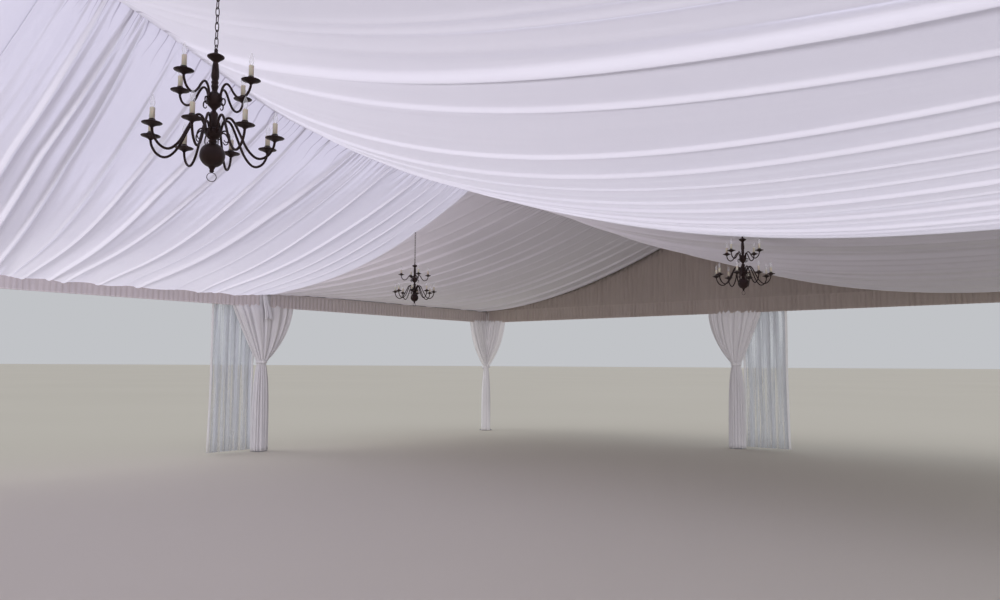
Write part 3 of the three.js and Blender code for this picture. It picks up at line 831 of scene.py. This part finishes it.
def tube(path, radius, sides, side_axis, closed=False):
    """A round bar along a path that lies in a plane. side_axis is the plane's normal, and radius a
    number or one for each point of the path."""
    path = np.asarray(path, float)
    if closed:
        tangent = np.roll(path, -1, axis=0) - np.roll(path, 1, axis=0)
    else:
        tangent = np.gradient(path, axis=0)
    tangent /= np.linalg.norm(tangent, axis=1, keepdims=True)
    side = np.asarray(side_axis, float)
    out = np.cross(side, tangent)
    angle = angles(sides)
    radius = np.broadcast_to(np.asarray(radius, float), len(path))[:, None, None]
    ring = path[:, None, :] + radius * (np.cos(angle)[None, :, None] * side
                                        + np.sin(angle)[None, :, None] * out[:, None, :])
    if closed:
        ring = np.concatenate([ring, ring[:1]])
    else:
        start, end = path[:1, None, :] + 0 * ring[:1], path[-1:, None, :] + 0 * ring[:1]
        ring = np.concatenate([start, ring, end])
    uv = flat_uv(np.linspace(0, 1, sides + 1), np.linspace(0, 1, len(ring)))
    return ring, uv, True


def weld(piece):
    """Merges doubled points at poles and joints, drops faces without area and turns faces outward."""
    work = bmesh.new()
    work.from_mesh(piece.data)
    bmesh.ops.remove_doubles(work, verts=work.verts, dist=1e-6)
    bmesh.ops.dissolve_degenerate(work, edges=work.edges, dist=1e-7)
    bmesh.ops.recalc_face_normals(work, faces=work.faces)
    work.to_mesh(piece.data)
    work.free()
    return piece


def circle(radius, centre, first, second, steps):
    """Points round a circle in the plane of the unit vectors first and second."""
    angle = angles(steps)[:, None]
    spoke = np.cos(angle) * np.array(first) + np.sin(angle) * np.array(second)
    return np.array(centre) + radius * spoke


vinyl = clear_vinyl()
hem_tape = white_hem()
zinc = zinc_steel()
VINYL = 0.001
CURTAIN_COLUMNS = 104
HEM_COLUMNS = 6
HEM_PROUD = 0.0022
RINGS = 9
RING = 0.016
RING_WIRE = 0.0018
ROD = 0.005
ROD_PAST = 0.02
BRACKET = 0.006


def curtain_points(low, high, run, deep, top, outer, seed):
    """Upright folds that die out at the two hems. The sheet draws in a little at half height, and
    its outer edge, at the end of the run where outer is 1, is drawn back at the top."""
    u = np.linspace(0, 1, CURTAIN_COLUMNS)
    rows = np.concatenate([np.linspace(low[2], top - 0.4, 8), np.linspace(top - 0.34, top, 7)])
    z = rows[:, None] + 0 * u
    down = (top - z) / (top - low[2])
    place = 0.5 + (u - 0.5) * (1 - 0.05 * np.sin(math.pi * down))
    from_leg = place if outer > 0 else 1 - place
    from_leg = from_leg * (1 - 0.10 * np.exp(-down / 0.05))
    place = from_leg if outer > 0 else 1 - from_leg
    wave = pleats(u * 0.86 + 0.012 * np.sin(5 * down), z * 0.6, 0.135, seed)
    points = np.zeros(z.shape + (3,))
    points[..., run] = low[run] + (high[run] - low[run]) * place
    fold = 0.0125 * wave * (0.72 + 0.28 * np.sin(3 * down))
    free = np.clip(np.minimum(u, 1 - u) / 0.09, 0.1, 1)
    points[..., deep] = (low[deep] + high[deep]) / 2 + fold * free
    points[..., 2] = z
    return points, flat_uv(u, rows)


def clear_curtain(name, seed):
    """The sheet of one curtain, its hems, and the rings on their rod with the rod's brackets."""
    low, high = box_of(f"clear_curtain_{name}")
    run, deep = (0, 1) if high[0] - low[0] > high[1] - low[1] else (1, 0)
    outward = math.copysign(1, low[deep] + high[deep])
    centre_place = middle_of(f"clear_curtain_{name}")
    middle = centre_place[deep]
    top = high[2] - 0.030
    outer = math.copysign(1, centre_place[run] - leg_places[name][run])
    points, uv = curtain_points(low, high, run, deep, top, outer, seed)
    sheet_piece = surface_object(f"curtain_sheet_{name}", [(points, uv, False)], vinyl,
                                 [f"clear_curtain_{name}"], thickness=VINYL)
    hems = []
    for columns in (slice(0, HEM_COLUMNS), slice(-HEM_COLUMNS, None)):
        edge = points[:, columns].copy()
        edge[..., deep] -= outward * HEM_PROUD
        hems.append((edge, uv[:, columns], False))
    strip = points[-3:].copy()
    strip[:, :, 2] = top - np.array([0.045, 0.022, -0.001])[:, None]
    strip[..., deep] -= outward * HEM_PROUD
    hems.append((strip, uv[-3:], False))
    hem_piece = surface_object(f"curtain_hems_{name}", hems, hem_tape, thickness=VINYL)
    along_run, out, up = np.eye(3)[run], np.eye(3)[deep], np.eye(3)[2]
    rings = []
    for k in range(RINGS):
        centre = points[-1, int(3 + k * (CURTAIN_COLUMNS - 7) / (RINGS - 1))].copy()
        centre[2] += 0.006
        centre[deep] = middle
        rings.append(tube(circle(RING, centre, out, up, 16), RING_WIRE, 6, along_run, closed=True))
    rod_low, rod_high = low.copy(), high.copy()
    rod_low[deep] = rod_high[deep] = middle
    rod_low[2] = rod_high[2] = top + 0.016
    rod_low[run] -= ROD_PAST
    rod_high[run] += ROD_PAST
    rings.append(tube(np.linspace(rod_low, rod_high, 12), ROD, 10, up))
    for share in (0.02, 0.5, 0.98):
        foot = rod_low + (rod_high - rod_low) * share
        rings.append(tube(np.linspace(foot - out * outward * 0.020, foot, 4), BRACKET, 10, up))
    hooks = weld(surface_object(f"curtain_rings_{name}", rings, zinc))


for number, leg in enumerate(["left_2", "left_3", "right_2", "right_3", "gable_near", "gable_far"]):
    clear_curtain(leg, 60 + number)


# Each chandelier is a turned column painted dark bronze with eight lower and four upper arms. Every
# arm is a bent bar that rises from its hub, dips, and carries a drip cup, a candle sleeve and a
# clear flame bulb. A chain of oval links hangs it from a hook under the rafter.
def bronze_paint():
    """Dark bronze paint, worn slightly lighter in patches."""
    finish = Finish("dark bronze", Metallic=0.35, Coat_Weight=0.1, Specular_IOR_Level=0.35)
    wear = finish.noise(finish.place(), 34.0, 4, 0.6)
    fine = finish.noise(finish.place(), 260.0, 2)
    return finish.surface(
        Base_Color=finish.between(wear, (0.010, 0.005, 0.005), (0.034, 0.014, 0.012)),
        Roughness=0.36 + wear * 0.25,
        Normal=finish.bump(fine, 0.0006, 0.5))


def candle_wax():
    """Ivory sleeve with soft runs."""
    finish = Finish("candle sleeve", Roughness=0.45, Subsurface_Weight=0.15)
    tone = finish.streaks(finish.place(), (60, 60, 12), 2)
    return finish.surface(
        Base_Color=finish.between(tone, (0.54, 0.49, 0.39), (0.70, 0.65, 0.54)),
        Normal=finish.bump(tone, 0.001, 0.5))


def bulb_glass():
    """Clear thin glass with a painted reflection: white and more opaque at its edges."""
    finish = Finish("bulb glass", Roughness=0.04, IOR=1.45)
    # Painted reflection: the facing weight makes the glass whiter and more solid where it turns away
    # from the view.
    edge = finish.node("LayerWeight", inputs={"Blend": 0.35}, output=1)
    return finish.surface(Base_Color=(0.92, 0.93, 0.95, 1), Alpha=0.14 + edge * 0.5)


def smooth_line(points, steps):
    """Points of a smooth curve through given points, by cubic pieces that share their slopes."""
    points = np.asarray(points, float)
    padded = np.concatenate([2 * points[:1] - points[1:2], points, 2 * points[-1:] - points[-2:-1]])
    t = np.linspace(0, len(points) - 1 - 1e-9, steps)
    piece = t.astype(int)
    t = (t - piece)[:, None]
    p0, p1, p2, p3 = (padded[piece + k] for k in range(4))
    return 0.5 * (2 * p1 + (p2 - p0) * t + (2 * p0 - 5 * p1 + 4 * p2 - p3) * t * t
                  + (3 * p1 - p0 - 3 * p2 + p3) * t ** 3)


def turned(profile, sides, place=(0, 0, 0)):
    """A profile of (radius, height) turned about the upright axis through place."""
    profile = np.asarray(profile, float)
    angle = angles(sides)
    radius, height = profile[:, :1], profile[:, 1:]
    ring = grid_of(radius * np.cos(angle), radius * np.sin(angle), height) + np.array(place)
    return ring, flat_uv(np.linspace(0, 1, sides + 1), profile[:, 1]), True


BALL_RADIUS = 0.057
BALL_HEIGHT = 0.126
RING_RADIUS = 0.0205
RING_TURN = math.radians(59.8)
LINK_PITCH = 0.036
# Every line is a row of (radius, height) places. The column's and the arms' heights count from the
# chandelier's lowest point, the cup's, the sleeve's and the bulb's from the top of the arm.
ball = [(BALL_RADIUS * math.sin(a), BALL_HEIGHT - BALL_RADIUS * math.cos(a))
        for a in np.linspace(0.3, 2.85, 14)]
column_line = [(0, 0.046), (0.007, 0.047), (0.011, 0.052), (0.009, 0.058), (0.014, 0.066), *ball,
               (0.018, 0.188), (0.020, 0.193), (0.015, 0.198), (0.024, 0.207), (0.034, 0.219),
               (0.037, 0.234), (0.033, 0.247), (0.018, 0.254), (0.015, 0.258), (0.018, 0.268),
               (0.0195, 0.285), (0.017, 0.300), (0.0205, 0.318), (0.014, 0.330), (0.009, 0.337),
               (0.016, 0.349), (0.030, 0.363), (0.036, 0.388), (0.031, 0.412), (0.016, 0.424),
               (0.0125, 0.432), (0.0145, 0.442), (0.017, 0.453), (0.0135, 0.461), (0.017, 0.470),
               (0.0135, 0.480), (0.0165, 0.490), (0.018, 0.500), (0.0165, 0.528), (0.0135, 0.557),
               (0.0115, 0.566), (0.018, 0.574), (0.036, 0.588), (0.039, 0.593), (0.036, 0.598),
               (0.016, 0.608), (0.009, 0.612), (0.008, 0.630), (0, 0.632)]
cup_line = [(0, -0.021), (0.006, -0.020), (0.012, -0.014), (0.030, -0.005), (0.042, -0.0015),
            (0.044, 0.0005), (0.041, 0.0025), (0.026, 0.007), (0.015, 0.013), (0.0135, 0.018),
            (0, 0.018)]
sleeve_line = [(0, 0.016), (0.0112, 0.016), (0.0112, 0.061), (0.0120, 0.065), (0.0105, 0.069),
               (0.004, 0.070), (0, 0.069)]
bulb_line = [(0, 0.069), (0.006, 0.070), (0.0090, 0.079), (0.0115, 0.089), (0.0105, 0.100),
             (0.0065, 0.113), (0.0028, 0.124), (0, 0.130)]
canopy_line = [(0, -0.010), (0.006, -0.010), (0.006, -0.005), (0.028, -0.004), (0.028, 0), (0, 0)]
arm_tiers = [
    {"arms": 8, "turn": 0.0, "radius": 0.282, "cup": 0.212, "bar": 0.0060,
     "line": [(0.034, 0.234), (0.042, 0.272), (0.056, 0.297), (0.074, 0.302), (0.094, 0.283),
              (0.122, 0.228), (0.156, 0.160), (0.192, 0.121), (0.224, 0.114), (0.256, 0.133),
              (0.276, 0.166), (0.282, 0.193)],
     "scroll": [(0.034, 0.226), (0.046, 0.240), (0.062, 0.238), (0.076, 0.218), (0.074, 0.196),
                (0.060, 0.188), (0.050, 0.199)]},
    {"arms": 4, "turn": 22.5, "radius": 0.201, "cup": 0.457, "bar": 0.0056,
     "line": [(0.033, 0.388), (0.040, 0.428), (0.053, 0.451), (0.070, 0.455), (0.088, 0.438),
              (0.108, 0.407), (0.132, 0.384), (0.158, 0.380), (0.184, 0.396), (0.198, 0.422),
              (0.201, 0.438)],
     "scroll": [(0.034, 0.376), (0.048, 0.388), (0.060, 0.382), (0.061, 0.364), (0.050, 0.354),
                (0.041, 0.361)]},
]
chandelier_turns = {1: -3.0, 2: 20.0, 3: 38.0, 4: 54.5}


def turn_about(grid, angle):
    """A grid turned about the upright axis."""
    points, uv, around = grid
    c, s = math.cos(angle), math.sin(angle)
    return points @ np.array([[c, s, 0], [-s, c, 0], [0, 0, 1.0]]), uv, around


def shifted(grid, place):
    """A grid moved to place."""
    points, uv, around = grid
    return points + np.array(place), uv, around


def upright(line):
    """(radius, height) pairs as points in the X-Z plane."""
    line = np.asarray(line, float)
    return grid_of(line[:, 0], 0.0, line[:, 1])


def chain(low, high):
    """Oval links, each a quarter turn from the next, that reach from low to high."""
    count = max(1, round((high - low) / LINK_PITCH))
    pitch = (high - low) / count
    angle = angles(16)
    tall = (pitch / 2 + 0.0042) * (np.clip(np.sin(angle) * 1.5, -1, 1) * 0.35 + np.sin(angle) * 0.65)
    grids = []
    for k in range(count):
        across, other = (np.eye(3)[0], np.eye(3)[1]) if k % 2 else (np.eye(3)[1], np.eye(3)[0])
        middle = np.array([0, 0, low + pitch * (k + 0.5)])
        link = 0.0085 * np.cos(angle)[:, None] * across + tall[:, None] * np.eye(3)[2] + middle
        grids.append(tube(link, 0.0023, 5, other, closed=True))
    return grids


def eye(radius, height, wire, turn=0.0):
    """An upright ring of wire round a point on the axis."""
    first = (math.cos(turn), math.sin(turn), 0)
    normal = (-math.sin(turn), math.cos(turn), 0)
    return tube(circle(radius, (0, 0, height), first, (0, 0, 1), 24), wire, 7, normal, closed=True)


bronze = bronze_paint()
wax = candle_wax()
bulb = bulb_glass()
for number, base_turn in chandelier_turns.items():
    low, high = box_of(f"chandelier_{number}")
    place = (*middle_of(f"chandelier_{number}")[:2], low[2])
    top = high[2] - low[2]
    metal = [turned(smooth_line(column_line, 96), 20),
             eye(radius=RING_RADIUS, height=0.0240, wire=0.0018, turn=RING_TURN),
             eye(radius=0.010, height=0.640, wire=0.0024), *chain(0.646, top - 0.030),
             eye(radius=0.013, height=top - 0.021, wire=0.003),
             turned(canopy_line, 18, (0, 0, top))]
    sleeves, bulbs = [], []
    for tier in arm_tiers:
        bar = tube(smooth_line(upright(tier["line"]), 34), tier["bar"], 8, (0, 1, 0))
        scroll = smooth_line(upright(tier["scroll"]), 16)
        hook = tube(scroll, np.linspace(0.0042, 0.0022, 16), 6, (0, 1, 0))
        at = (tier["radius"], 0, tier["cup"])
        cup = turned(cup_line, 16, at)
        sleeve = turned(sleeve_line, 12, at)
        flame = turned(smooth_line(bulb_line, 12), 10, at)
        for k in range(tier["arms"]):
            angle = math.radians(base_turn + tier["turn"] + k * 360 / tier["arms"])
            metal += [turn_about(grid, angle) for grid in (bar, hook, cup)]
            sleeves.append(turn_about(sleeve, angle))
            bulbs.append(turn_about(flame, angle))
    for piece_name, grids, finish in ((f"chandelier_metal_{number}", metal, bronze),
                                      (f"chandelier_sleeves_{number}", sleeves, wax),
                                      (f"chandelier_bulbs_{number}", bulbs, bulb)):
        replaced = [f"chandelier_{number}"] if finish is bronze else []
        weld(surface_object(piece_name, [shifted(grid, place) for grid in grids], finish,
                            replaced))


# The frame is extruded aluminium: legs on welded base plates, rails, rafters and a ridge beam. The
# legs are grooved on all four faces, and each plate is held by four steel stakes.
def mill_aluminium():
    """Satin aluminium with fine lines along the extrusion and a dull, uneven oxide."""
    finish = Finish("frame aluminium", Metallic=0.85)
    oxide = finish.noise(finish.place(), 5.0, 4, 0.6)
    line = finish.streaks(finish.place(), (240, 240, 3), 2)
    return finish.surface(
        Base_Color=finish.between(oxide, (0.30, 0.31, 0.33), (0.50, 0.51, 0.53)),
        Roughness=0.34 + oxide * 0.22,
        Normal=finish.bump(line, 0.0006, 0.35))


aluminium = mill_aluminium()


def grooved_square(size, corner, groove, deep):
    """Outline of a square tube with rounded corners and a groove along the middle of each face."""
    half = size / 2
    quarter = [(half, -half + corner), (half, -groove / 2), (half - deep, -groove / 2),
               (half - deep, groove / 2), (half, groove / 2), (half, half - corner),
               (half - 0.3 * corner, half - 0.3 * corner)]
    quarter = np.array(quarter)
    turns = [np.array([[0, 1], [-1, 0]]), np.array([[-1, 0], [0, -1]]), np.array([[0, -1], [1, 0]])]
    return np.concatenate([quarter] + [quarter @ turn for turn in turns])


def prism(outline, z0, z1, place):
    """An outline carried upright from z0 to z1 and closed at both ends."""
    rows = []
    centre = outline.mean(axis=0)
    for share, z in ((0.0, z0), (1.0, z0), (1.0, z1), (0.0, z1)):
        flat = centre + (outline - centre) * share
        rows.append(np.concatenate([flat + np.array(place), np.full((len(outline), 1), z)], axis=1))
    ring = np.stack(rows)
    return ring, flat_uv(np.linspace(0, 1, len(outline) + 1), np.linspace(0, 1, 4)), True


for leg, (x, y) in leg_places.items():
    low, high = box_of(f"leg_{leg}")
    plate = 0.008
    half = (high[0] - low[0]) / 2
    cut = half - 0.012
    eight = np.array([(cut, -half), (half, -cut), (half, cut), (cut, half),
                      (-cut, half), (-half, cut), (-half, -cut), (-cut, -half)])
    square = grooved_square(size=0.07, corner=0.005, groove=0.014, deep=0.006)
    grids = [prism(square, plate - 0.001, high[2], (x, y)), prism(eight, low[2], plate, (x, y))]
    bead = np.array([(0.036, -0.036), (0.036, 0.036), (-0.036, 0.036), (-0.036, -0.036)]) * 1.12
    grids.append(prism(bead, plate - 0.001, plate + 0.004, (x, y)))
    tube_piece = weld(surface_object(f"leg_tube_{leg}", grids, aluminium, [f"leg_{leg}"]))
    tube_piece.data.shade_flat()
    stakes = []
    for sx, sy in ((1, 1), (1, -1), (-1, 1), (-1, -1)):
        head = [(0, plate - 0.002), (0.013, plate - 0.002), (0.013, plate + 0.009),
                (0.010, plate + 0.013), (0, plate + 0.014)]
        stakes.append(turned(head, 12, (x + sx * 0.085, y + sy * 0.085, 0)))
    weld(surface_object(f"leg_stakes_{leg}", stakes, zinc))

for name, node in frame["nodes"].items():
    if name.startswith(("eave_rail", "gable_rail", "rafters", "ridge_beam", "ceiling_batten")):
        node.data.materials.clear()
        node.data.materials.append(aluminium)


# The roof cover is white coated vinyl in three sections, stretched over the rafters, with a skirt
# that hangs past the rails. Sections are laced at the middle rafters under a flap, and each end
# section carries a gable cloth.
def cover_vinyl():
    """White coated vinyl with the scrim's fine grid showing, and a little grey run-off."""
    finish = Finish("cover vinyl")
    cloth = finish.cloth_place()
    run_off = finish.streaks(cloth, (7, 0.8, 1), 4, 0.6)
    patch = finish.noise(finish.place(), 0.6, 3)
    warp, weft = finish.threads(cloth, "X", 90.0), finish.threads(cloth, "Y", 90.0)
    return finish.surface(
        Base_Color=finish.between(run_off * 0.6 + patch * 0.4, (0.76, 0.76, 0.74), (0.86, 0.86, 0.85)),
        Roughness=0.36 + patch * 0.2,
        Normal=finish.bump(warp * 0.1 + weft * 0.1 + run_off * 0.8, 0.002, 0.5))


cover = cover_vinyl()
cover_low, cover_high = box_of("roof_cover_middle")
COVER_EDGE = float(cover_high[0]) - 0.004
SKIRT_LOW = float(cover_low[2])
RIDGE_TOP = float(cover_high[2]) - 0.004
PITCH = 0.32
COVER = 0.0022
EAVE_TOP = RIDGE_TOP - PITCH * COVER_EDGE


def cover_profile(steps):
    """Section across the roof: skirt, rounded eave, slope, ridge, and the same on the other side.
    Returns x, z and the length along it."""
    half = np.array([(-COVER_EDGE, SKIRT_LOW), (-COVER_EDGE, EAVE_TOP - 0.10),
                     (-COVER_EDGE, EAVE_TOP - 0.03),
                     (-COVER_EDGE + 0.006, EAVE_TOP - 0.008), (-COVER_EDGE + 0.03, EAVE_TOP + 0.008),
                     (-COVER_EDGE + 0.10, EAVE_TOP + 0.032)])
    slope_x = np.linspace(-COVER_EDGE + 0.2, -0.06, steps)
    slope = np.stack([slope_x, RIDGE_TOP + PITCH * slope_x], axis=-1)
    skirt = np.linspace(0, 1, 8)[1:-1, None] * (half[1] - half[0]) + half[0]
    left = np.concatenate([half[:1], skirt, half[1:], slope, [(0.0, RIDGE_TOP - 0.003)]])
    right = left[::-1][1:] * np.array([-1, 1])
    line = np.concatenate([left, right])
    length = np.concatenate([[0], np.cumsum(np.linalg.norm(np.diff(line, axis=0), axis=1))])
    return line[:, 0], line[:, 1], length


def roof_section(name, y0, y1):
    """The cover lies on the rafters at both ends of a bay and sags between them, most at the middle
    of each slope. Near the legs it draws into shallow tension folds, and its skirt ripples."""
    x, z, length = cover_profile(30)
    y = np.linspace(y0, y1, 50)[:, None]
    share = (y - y0) / (y1 - y0)
    up = np.clip((COVER_EDGE - np.abs(x)) / COVER_EDGE, 0, 1)
    sag = 0.035 * np.sin(math.pi * share) * np.sin(math.pi * up) ** 0.8
    seams = 0.0015 * (np.abs((share * 3) % 1 - 0.5) > 0.492)
    ripple = 0.010 * np.sin(y * 5.2 + 0.7) * np.clip((EAVE_TOP - 0.05 - z) / 0.2, 0, 1)
    near_rafter = bell(np.minimum(share, 1 - share), 0.18)
    pull = 0.004 * np.sin(length * 2.2 + share * 9) * near_rafter
    slope_part = np.clip(up * 20, 0, 1)
    points = grid_of(x + np.sign(x) * ripple, y,
                     z - sag + seams * slope_part + pull * slope_part * 0.5)
    made = surface_object(f"cover_{name}", [(points, grid_of(length, y), False)], cover,
                          [f"roof_cover_{name}"], flipped=True, thickness=COVER)
    y1 - y0
    [f"rafters_{k}" for k in (1, 2, 3, 4) if y0 - 0.3 < FRAMES[k - 1] < y1 + 0.3]


END = float(box_of("roof_cover_far")[1][1]) - 0.004
roof_section("near", -END, FRAMES[1] - 0.001)
roof_section("middle", FRAMES[1] + 0.001, FRAMES[2] - 0.001)
roof_section("far", FRAMES[2] + 0.001, END)


FLAP = 0.0016


def lacing_flap(number):
    """A strip of cover over the joint at a middle rafter, 3 mm proud of it, with a rolled edge."""
    x, z, length = cover_profile(30)
    across = np.array([-0.11, -0.104, -0.098, -0.05, 0, 0.05, 0.098, 0.104, 0.11])[:, None]
    on_slope = np.clip((z - EAVE_TOP + 0.03) / 0.03, 0, 1)
    proud = 0.003 + 0.002 * bell(np.abs(across) - 0.104, 0.004)
    points = grid_of(x + np.sign(x) * proud * (1 - on_slope), FRAMES[number] + across,
                     z + proud * on_slope)
    made = surface_object(f"cover_flap_{number}", [(points, grid_of(length, across), False)], cover,
                          flipped=True, thickness=FLAP)


lacing_flap(1)
lacing_flap(2)


def gable_cloth(name, sign):
    """Cloth from the skirt's hem up to the roof's edge, with a slight belly and upright weld seams."""
    x = np.linspace(-COVER_EDGE, COVER_EDGE, 150)
    share = np.linspace(0, 1, 18)[:, None]
    top = RIDGE_TOP - PITCH * np.abs(x)
    z = SKIRT_LOW + (top - 0.002 - SKIRT_LOW) * share
    belly = 0.020 * np.sin(math.pi * share) * np.cos(x / COVER_EDGE * math.pi / 2)
    weld_line = 0.0015 * (np.abs((x / 1.5) % 1 - 0.5) > 0.49)
    hem = 0.003 * bell(z - SKIRT_LOW - 0.02, 0.012)
    y = sign * (END + belly * 0.4 + weld_line + hem - 0.002)
    made = surface_object(f"gable_cloth_{name}", [(grid_of(x, y, z), grid_of(x, z), False)], cover,
                          flipped=sign > 0, thickness=COVER)


gable_cloth("near", -1)
gable_cloth("far", 1)


# The stage is a plain pale floor under soft light: a pale sky all round, a soft sun for the cover, a
# low light from the near end that brings out the folds, and weaker ones from below and beside.
def stage_floor():
    """Plain matt floor, slightly mottled."""
    finish = Finish("stage floor", Roughness=0.9)
    tone = finish.noise(finish.place(), 0.08, 2)
    return finish.surface(Base_Color=finish.between(tone, (0.645, 0.60, 0.52), (0.705, 0.66, 0.58)))


FLOOR_REACH = 1500
floor_corners = [(FLOOR_REACH * x, FLOOR_REACH * y, 0) for x, y in ((-1, -1), (1, -1), (1, 1), (-1, 1))]
floor_mesh = bpy.data.meshes.new("stage_floor")
floor_mesh.from_pydata(floor_corners, [], [(0, 1, 2, 3)])
floor_mesh.materials.append(stage_floor())
floor = bpy.data.objects.new("stage_floor", floor_mesh)
bpy.context.scene.collection.objects.link(floor)


def pieces_named(*starts):
    """A collection of every piece whose name starts with one of these words, for a light to use."""
    group = bpy.data.collections.new("_".join(starts))
    for piece in bpy.data.objects:
        if piece.type == "MESH" and piece.name.startswith(starts):
            group.objects.link(piece)
    return group


def aim(name, data, place, heading, color, lit=None, shading=None):
    """Puts a light at place that shines along heading. lit limits what it reaches, shading what
    throws shadows in it."""
    data.color = color
    made = bpy.data.objects.new(name, data)
    bpy.context.scene.collection.objects.link(made)
    turn = Vector(heading).to_track_quat("-Z", "Y").to_matrix().to_4x4()
    made.matrix_world = Matrix.Translation(place) @ turn
    made.visible_camera = False
    made.visible_glossy = False
    if lit:
        made.light_linking.receiver_collection = lit
    if shading:
        made.light_linking.blocker_collection = shading


def far_light(name, heading, strength, softness, color, lit, shading):
    """Light from far away, softened by its width in degrees."""
    data = bpy.data.lights.new(name, "SUN")
    data.energy = strength
    data.angle = math.radians(softness)
    aim(name, data, (0, 0, 12), heading, color, lit, shading)


def panel_light(name, place, target, size, power, color, lit=None):
    """A broad panel at place that faces target."""
    data = bpy.data.lights.new(name, "AREA")
    data.shape = "RECTANGLE"
    data.size, data.size_y = size
    data.energy = power
    aim(name, data, place, np.subtract(target, place), color, lit)


bpy.context.scene.view_settings.view_transform = "Standard"
world = bpy.data.worlds.new("sky")
bpy.context.scene.world = world
world.use_nodes = True
world.node_tree.nodes["Background"].inputs["Color"].default_value = (0.86, 0.88, 0.92, 1)
world.node_tree.nodes["Background"].inputs["Strength"].default_value = 0.62

linings = pieces_named("lining_")
left_linings = pieces_named("lining_left_near", "lining_left_middle")
right_linings = pieces_named("lining_right_near", "lining_right_middle")
far_linings = pieces_named("lining_left_far", "lining_right_far")
hung_pieces = pieces_named("leg_cloth_", "curtain_", "chandelier_")
far_light("near_end_left", (0.10, 0.95, 0.20), 2.3, 8, (0.95, 0.93, 1.0), left_linings, left_linings)
far_light("near_end_right", (0.15, 0.95, 0.185), 2.42, 8, (0.95, 0.93, 1.0), right_linings, linings)
far_light("glow_left", (-0.15, 0.15, 1.0), 2.55, 120, (0.94, 0.94, 1.15), left_linings, left_linings)
far_light("glow_right", (0.0, 0.15, 1.0), 2.83, 120, (0.94, 0.94, 1.15), right_linings, linings)
panel_light("far_bay", (-2.6, 0.0, 1.2), (-2.2, 6.0, 3.4), (2.0, 1.0), 66, (1.0, 0.90, 0.97),
            far_linings)
far_light("far_folds", (0.20, 0.95, 0.20), 0.14, 8, (1.0, 0.90, 0.93), far_linings, far_linings)
far_light("side_glow", (-0.55, 0.80, 0.05), 0.9, 50, (0.98, 0.97, 1.0), hung_pieces, hung_pieces)
panel_light("left_valance", (0.5, -4.0, 1.4), (-6.0, 0.0, 2.6), (3.0, 2.0), 150, (0.95, 1.07, 1.5),
            pieces_named("valance_pleats_left"))
far_light("soft_sun", (0.55, 0.45, -0.70), 0.55, 50, (1, 1, 1), None, None)
